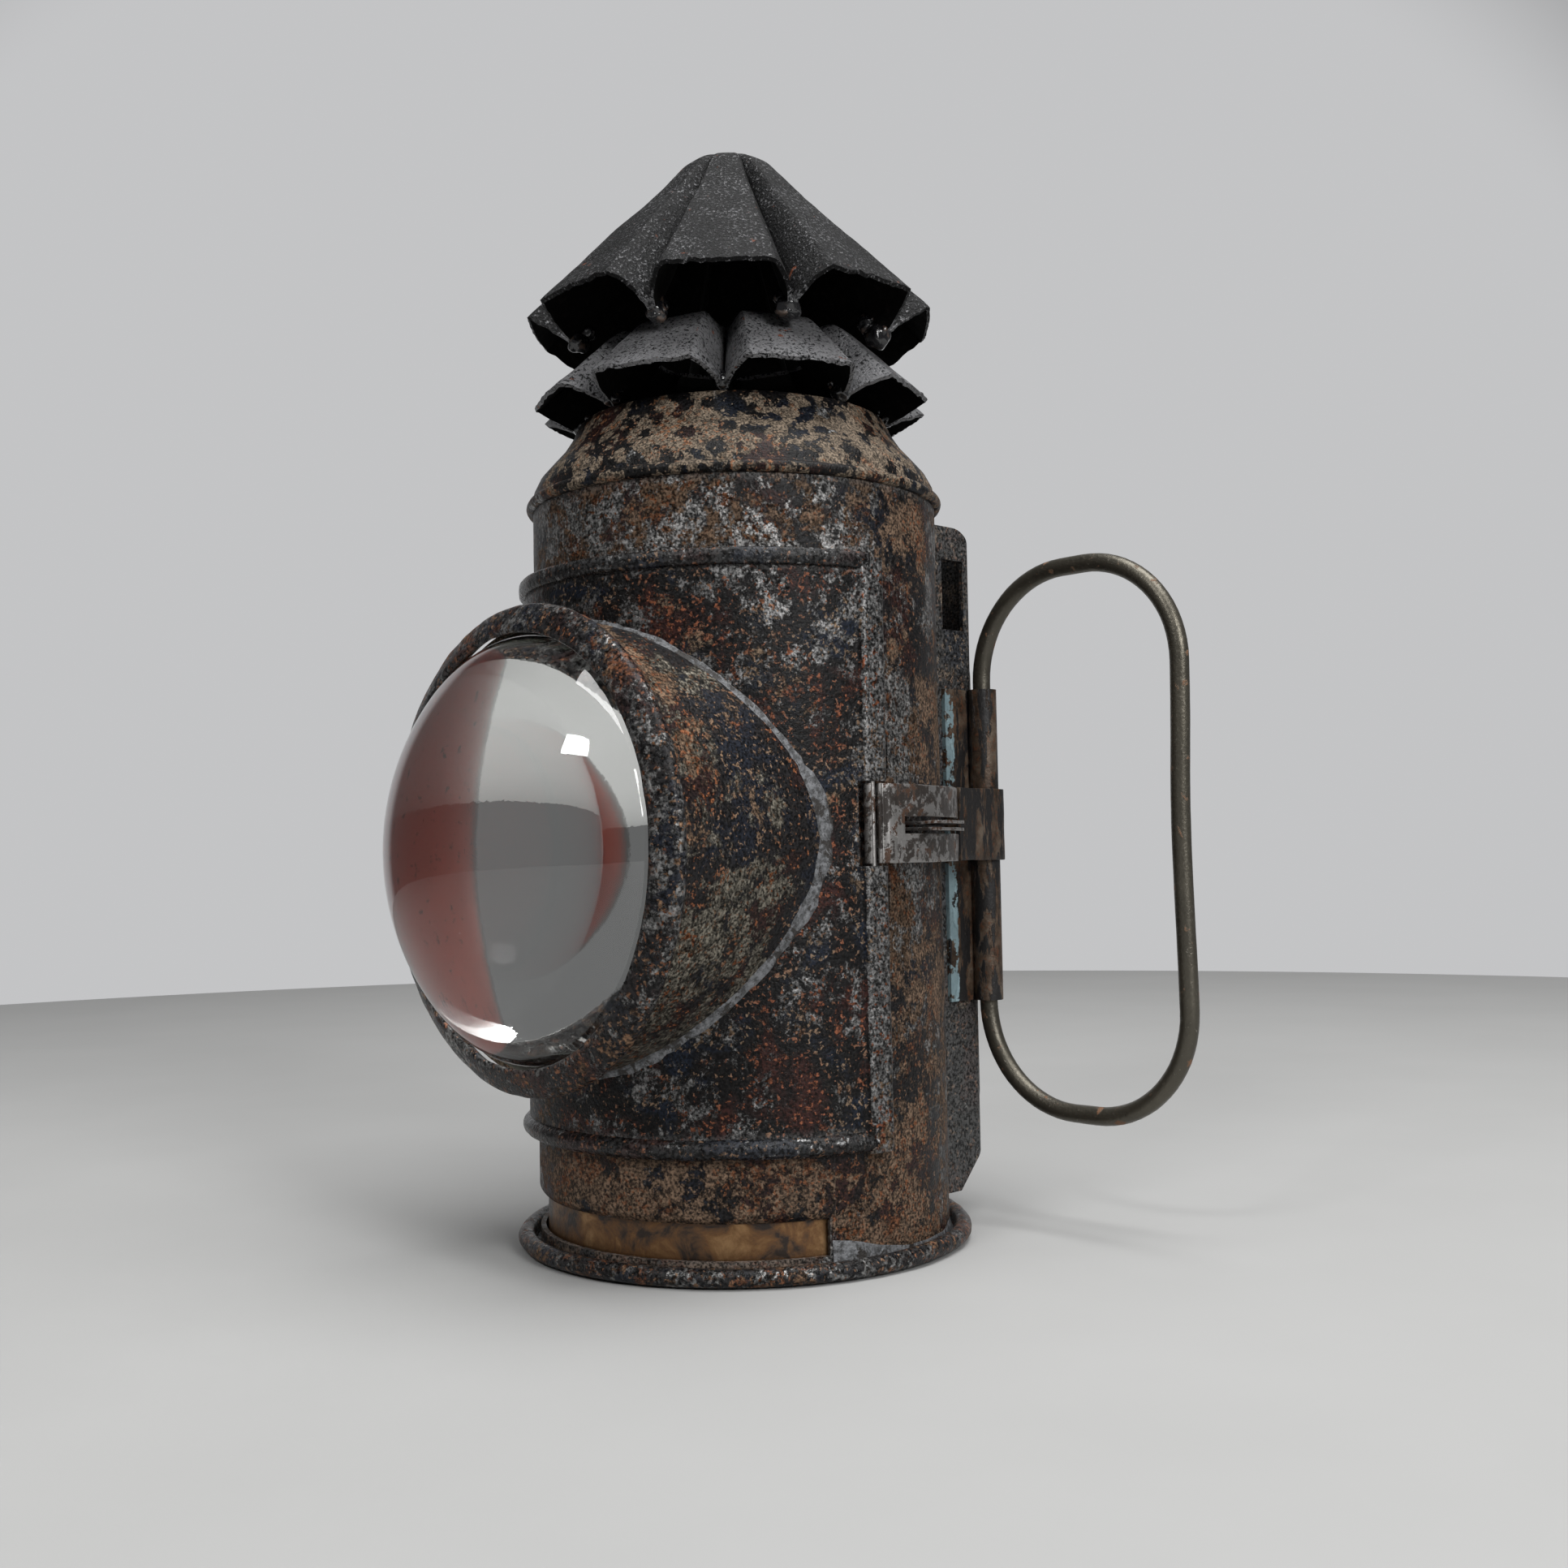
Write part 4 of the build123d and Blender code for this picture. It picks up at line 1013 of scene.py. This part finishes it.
def build_glass():
    """Plano-convex lens: steep elliptical edge, then a spherical cap."""
    join = acos(DOME_CAP_R / LENS_R)
    tilt = atan2(DOME_RISE * cos(join), LENS_R * sin(join))
    cap_r = DOME_CAP_R / sin(tilt)
    centre = LENS_EDGE + DOME_RISE * sin(join) - cap_r * cos(tilt)
    outline = [(cap_r * sin(tilt * k / 36), centre + cap_r * cos(tilt * k / 36)) for k in range(1, 37)]
    outline = [(0.001, centre + cap_r)] + outline
    for k in range(13, -1, -1):
        outline.append((LENS_R * cos(join * k / 14), LENS_EDGE + DOME_RISE * sin(join * k / 14)))
    outline += [(LENS_R, LENS_BACK + 0.15), (LENS_R - 0.15, LENS_BACK)]
    outline += [(LENS_R * (1 - k / 8), LENS_BACK) for k in range(1, 8)] + [(0.001, LENS_BACK)]
    outline = [(r * 0.9995, min(d, LENS_APEX - 0.01)) for r, d in outline]
    shape = lathe(outline, around_lens, 180)
    glass = piece("bulls_eye", shape, GLASS, "door", "lens_glass", smooth_angle=30)
    built = bmesh.new()
    built.from_mesh(glass.data)
    bmesh.ops.remove_doubles(built, verts=built.verts, dist=0.002 * MM)
    bmesh.ops.recalc_face_normals(built, faces=built.faces)
    built.to_mesh(glass.data)
    built.free()
    glass.visible_shadow = False


# --- hasp, staple and strap ---


def build_hasp():
    """Rolled knuckle and curved plate, slotted from its open rear end."""
    inner_r, thick, end = 36.2, 0.8, 131.0
    slot = (66.0, 68.6)
    angles = steps(84.0, end, 1.3, 91.5)
    heights = steps(HASP_Z0, HASP_Z1, 0.8, *slot)

    def point(angle, z):
        p = on_circle(angle, inner_r, z)
        edge_wave = 0.10 * lump(p, 5, 3)
        end_lift = 0.25 * max(0.0, (angle - 122) / 9)
        r = inner_r + thick - 0.05 + edge_wave - end_lift
        return on_circle(angle, r, z + 0.10 * lump((angle / 6, z, 0), 2, 5))

    def keep(a0, a1, z0, z1):
        return not (a0 >= 91.4 and slot[0] < (z0 + z1) / 2 < slot[1])

    shape = grid(angles, heights, point, keep)
    piece("hasp_plate", shape, STEEL, "hasp", "hasp_fork", sheet=0.75, bevel=0.16)
    pin = on_circle(HASP_ANGLE, HASP_PIN_AT_R, 0)
    wrap = arc_points(pin, 1.28, HASP_ANGLE - 30, HASP_ANGLE + 225, 17)
    outline = [on_circle(88.0, 36.9, 0)[:2], on_circle(85.5, 36.98, 0)[:2]] + wrap
    rolled_sheet("hasp_knuckle", outline, HASP_Z0, HASP_Z1, 0.5, STEEL, "hasp", "", 4, 0.12)


def rolled_sheet(name, line, z0, z1, thick, material, body, stands_for, seed, bevel):
    """Upright sheet along an (x, y) line; the line is its outer face."""
    heights = steps(z0, z1, 1.4)

    def point(k, z):
        x, y = line[k]
        edge = 0.12 if z in (heights[0], heights[-1]) else 0.0
        wave = 0.06 * lump((x, y, z), 4, seed)
        return (x + wave, y + wave, z + edge * lump((x, y, z), 3, seed + 1))

    shape = grid(list(range(len(line))), heights, point)
    piece(name, shape, material, body, stands_for, sheet=thick, bevel=bevel, even=False)


def build_staple():
    """Tin strip folded flat into two leaves, bent a little by use."""
    low, high = span("staple_tab")
    leaves = ((low[2], low[2] + 0.5), (high[2] - 0.5, high[2]))
    verts, faces = [], []
    for number, (z0, z1) in enumerate(leaves):
        angles = steps(97.2, 114.6 - number, 1.2)
        rows = []
        for r in (BODY_R, 35.6, 37.2, 38.6, 39.3 + 0.2 * number):
            rows.append([(a, r - 0.5 * max(0, abs((a - 106) / 9) - 0.75)) for a in angles])
        base = len(verts)
        n = len(angles)
        for z in (z0, z1):
            for row in rows:
                for a, r in row:
                    bend = 0.25 * (number - 0.5) * max(0.0, (r - 37) / 3)
                    bend += 0.10 * lump((a / 3, r, number), 2, 3)
                    verts.append(on_circle(a, r, z + bend))
        layer = len(rows) * n
        for j in range(len(rows) - 1):
            for i in range(n - 1):
                a = base + j * n + i
                faces.append((a, a + 1, a + n + 1, a + n))
                faces.append((a + layer, a + layer + n, a + layer + n + 1, a + layer + 1))
        rim = [j * n for j in range(len(rows))] + [(len(rows) - 1) * n + i for i in range(1, n)]
        rim += [j * n + n - 1 for j in range(len(rows) - 2, -1, -1)] + list(range(n - 2, 0, -1))
        for i, a in enumerate(rim):
            b = rim[(i + 1) % len(rim)]
            faces.append((base + a, base + b, base + b + layer, base + a + layer))
    piece("staple", (verts, faces), STEEL, "lantern_body", "staple_tab", bevel=0.08)


def build_strap():
    """Strap from under the hasp's end to the right handle's sleeve, and round it."""
    low, high = span("keeper_strap")
    wrap_r = 3.35
    nose = (26.6, 26.0)
    wrap = arc_points((LEG_X, LEG_Y), wrap_r, 4, 122, 14)
    blade = [tuple(n + (w - n) * k / 8 for n, w in zip(nose, wrap[0])) for k in range(8)]
    rolled_sheet("keeper_strap_wrap", blade + wrap, low[2], high[2], SHEET, STRAP_TIN,
                 "lantern_body", "keeper_strap", 8, 0.14)


# --- handles ---


def build_handle(name, node, body, side):
    """Wire loop, its outer leg pressed slightly in by use."""
    half_w = (handle_high[0] - handle_low[0]) / 2 - WIRE_R
    half_h = (handle_high[2] - handle_low[2]) / 2 - WIRE_R
    mid_x, mid_z = (handle_low[0] + handle_high[0]) / 2, (handle_low[2] + handle_high[2]) / 2
    corner = 18.0
    path = []
    for cx, cz, start in ((1, -1, -90), (1, 1, 0), (-1, 1, 90), (-1, -1, 180)):
        centre = (mid_x + cx * (half_w - corner), mid_z + cz * (half_h - corner))
        path += arc_points(centre, corner, start, start + 90, 18)
    full = []
    for k, p in enumerate(path):
        q = path[(k + 1) % len(path)]
        parts = max(1, round(hypot(q[0] - p[0], q[1] - p[1]) / 1.6))
        full += [(p[0] + (q[0] - p[0]) * i / parts, p[1] + (q[1] - p[1]) * i / parts) for i in range(parts)]
    line = []
    for x, z in full:
        outward = (x - mid_x) / half_w
        free = max(0.0, outward)
        press = 0.55 * free * (0.5 + 0.5 * cos(pi * min(1.0, abs(z - mid_z) / 30)))
        wave = 0.22 * lump((x, 0, z), 16, 5 + side)
        line.append(Vector((side * (x - (press + max(0.0, wave)) * free), LEG_Y - 0.05, z)))
    radius = [WIRE_R - 0.04 + 0.03 * lump(p, 3, 2) for p in line]
    verts, faces = tube(line, lambda k: radius[k], closed=True, sides=24)
    if side > 0:
        faces = [f[::-1] for f in faces]
    piece(name, (verts, faces), WIRE, body, node, smooth_angle=80)


# --- candle ---


def build_candle():
    low, high = span("candle")
    r, top = high[0], high[2]
    outline = [(0.01, low[2]), (r - 0.3, low[2]), (r - 0.1, low[2] + 1)]
    outline += [(r - 0.1, low[2] + 1 + (top - low[2] - 4) * k / 16) for k in range(1, 17)]
    outline += [(r - 0.5, top - 1.5), (r - 1.4, top - 0.5), (r - 2.6, top - 0.3), (r - 4.2, top - 1.2)]
    outline += [(3.0, top - 1.5), (0.8, top - 1.4), (0.01, top - 1.4)]

    def turn(angle, radius, z):
        p = on_circle(angle, radius, z)
        return on_circle(angle, min(radius + (0.25 * lump(p, 4, 2) - 0.15 if radius > 6 else 0), r), z)

    piece("candle_body", lathe(outline, turn, 72), wax(), "lantern_body", "candle", smooth_angle=60)
    line = [Vector((0, 0, top - 3 + k)) for k in range(8)]
    line += [Vector((0.3 * k * k / 4, 0, top + 4 + k * 0.8)) for k in range(1, 4)]
    shape = tube(line, lambda k: 0.62 + 0.08 * sin(k * 2.2), sides=10)
    piece("candle_wick", shape, charred_cotton(), "lantern_body", "wick", smooth_angle=60)


# --- light and floor ---


def area_light(name, place, size, power):
    """Rectangular light that faces the middle of the lantern."""
    data = bpy.data.lights.new(name, "AREA")
    data.shape = "RECTANGLE"
    data.size, data.size_y = size
    data.energy = power
    lamp = bpy.data.objects.new(name, data)
    bpy.context.collection.objects.link(lamp)
    lamp.location = place
    aim = Vector((0, 0, 0.09)) - Vector(place)
    lamp.rotation_euler = aim.to_track_quat("-Z", "Y").to_euler()


TABLE_R = 0.62


def build_studio():
    """Round pale table; a room darker behind the camera; soft light from above and the right."""
    s = Shader("pale_floor")
    tone = s.noise(60.0, 4.0)
    material = s.finish(s.mix(tone, (0.36, 0.36, 0.355), (0.40, 0.40, 0.395)), 0.8, 0.0, tone, 0.2)
    mesh = bpy.data.meshes.new("floor")
    edge = [(TABLE_R * cos(radians(k)), TABLE_R * sin(radians(k))) for k in range(0, 360, 2)]
    rings = [(x * grow, y * grow, z) for grow, z in ((1, 0), (1.003, -0.004), (1, -0.05)) for x, y in edge]
    n = len(edge)
    sides = [(lower + i, lower + (i + 1) % n, lower - n + (i + 1) % n, lower - n + i)
             for lower in (n, 2 * n) for i in range(n)]
    mesh.from_pydata(rings, [], [tuple(range(n))] + sides)
    floor = bpy.data.objects.new("floor", mesh)
    floor.data.materials.append(material)
    bpy.context.collection.objects.link(floor)

    world = bpy.data.worlds.new("studio")
    world.use_nodes = True
    tree = world.node_tree
    coords = add_node(tree, "ShaderNodeTexCoord", {})
    ahead = (-sin(radians(CAMERA_YAW)), cos(radians(CAMERA_YAW)), 0.0)
    toward = add_node(tree, "ShaderNodeVectorMath", {0: coords.outputs["Generated"], 1: ahead},
                      operation="DOT_PRODUCT")
    inputs = {"Value": toward.outputs["Value"], "From Min": 0.74, "From Max": 0.84}
    inputs.update({"To Min": 0.13, "To Max": 0.56})
    fade = add_node(tree, "ShaderNodeMapRange", inputs, interpolation_type="SMOOTHSTEP")
    background = tree.nodes["Background"]
    set_input(tree, background.inputs["Strength"], fade.outputs[0])
    set_input(tree, background.inputs["Color"], (0.98, 0.985, 1.0))
    bpy.context.scene.world = world

    area_light("overhead", (0.18, 0.03, 0.90), (0.6, 0.6), 9.0)
    area_light("right_window", (0.90, -0.16, 0.50), (0.30, 0.40), 6.0)
    area_light("key", (0.19, -0.776, 0.72), (0.20, 0.14), 2.6)
    bpy.context.scene.view_settings.view_transform = "Standard"


# --- assembly ---

make_camera()
build_shell()
build_band()
build_shoulder()
build_base()
build_fillet()
build_cap()
build_blobs("upper_drips", "cap_solder_upper", 26.7, 148.2, 22.5, 1.75, 3)
build_blobs("lower_drips", "cap_solder_lower", 25.9, 136.6, 0.0, 1.35, 8)
build_panel()
build_beads()
build_housing()
build_seam()
build_bezel()
build_glass()
build_hasp()
build_staple()
build_strap()
build_handle("right_loop", "handle_right", "right_handle", 1)
build_handle("left_loop", "handle_left", "left_handle", -1)
build_candle()

for node in ("back_channel", "belt_clip"):
    carry_over(node, BACK_TIN)
for node in ("handle_sleeve_right", "handle_sleeve_left"):
    carry_over(node, SLEEVE_TIN)
for node in ("hinge_knuckles_body", "hinge_knuckles_door", "hinge_pins", "clip_rivets", "hasp_pin"):
    carry_over(node, STEEL)
for node in ("drum_top_ring", "drum_posts", "candle_socket", "lens_retainer"):
    carry_over(node, BACK_TIN, 0.1)
carry_over("drum_collar", BRASSY, 0.1)
carry_over("red_pane", RED).visible_shadow = False
carry_over("green_pane", GREEN).visible_shadow = False

build_studio()
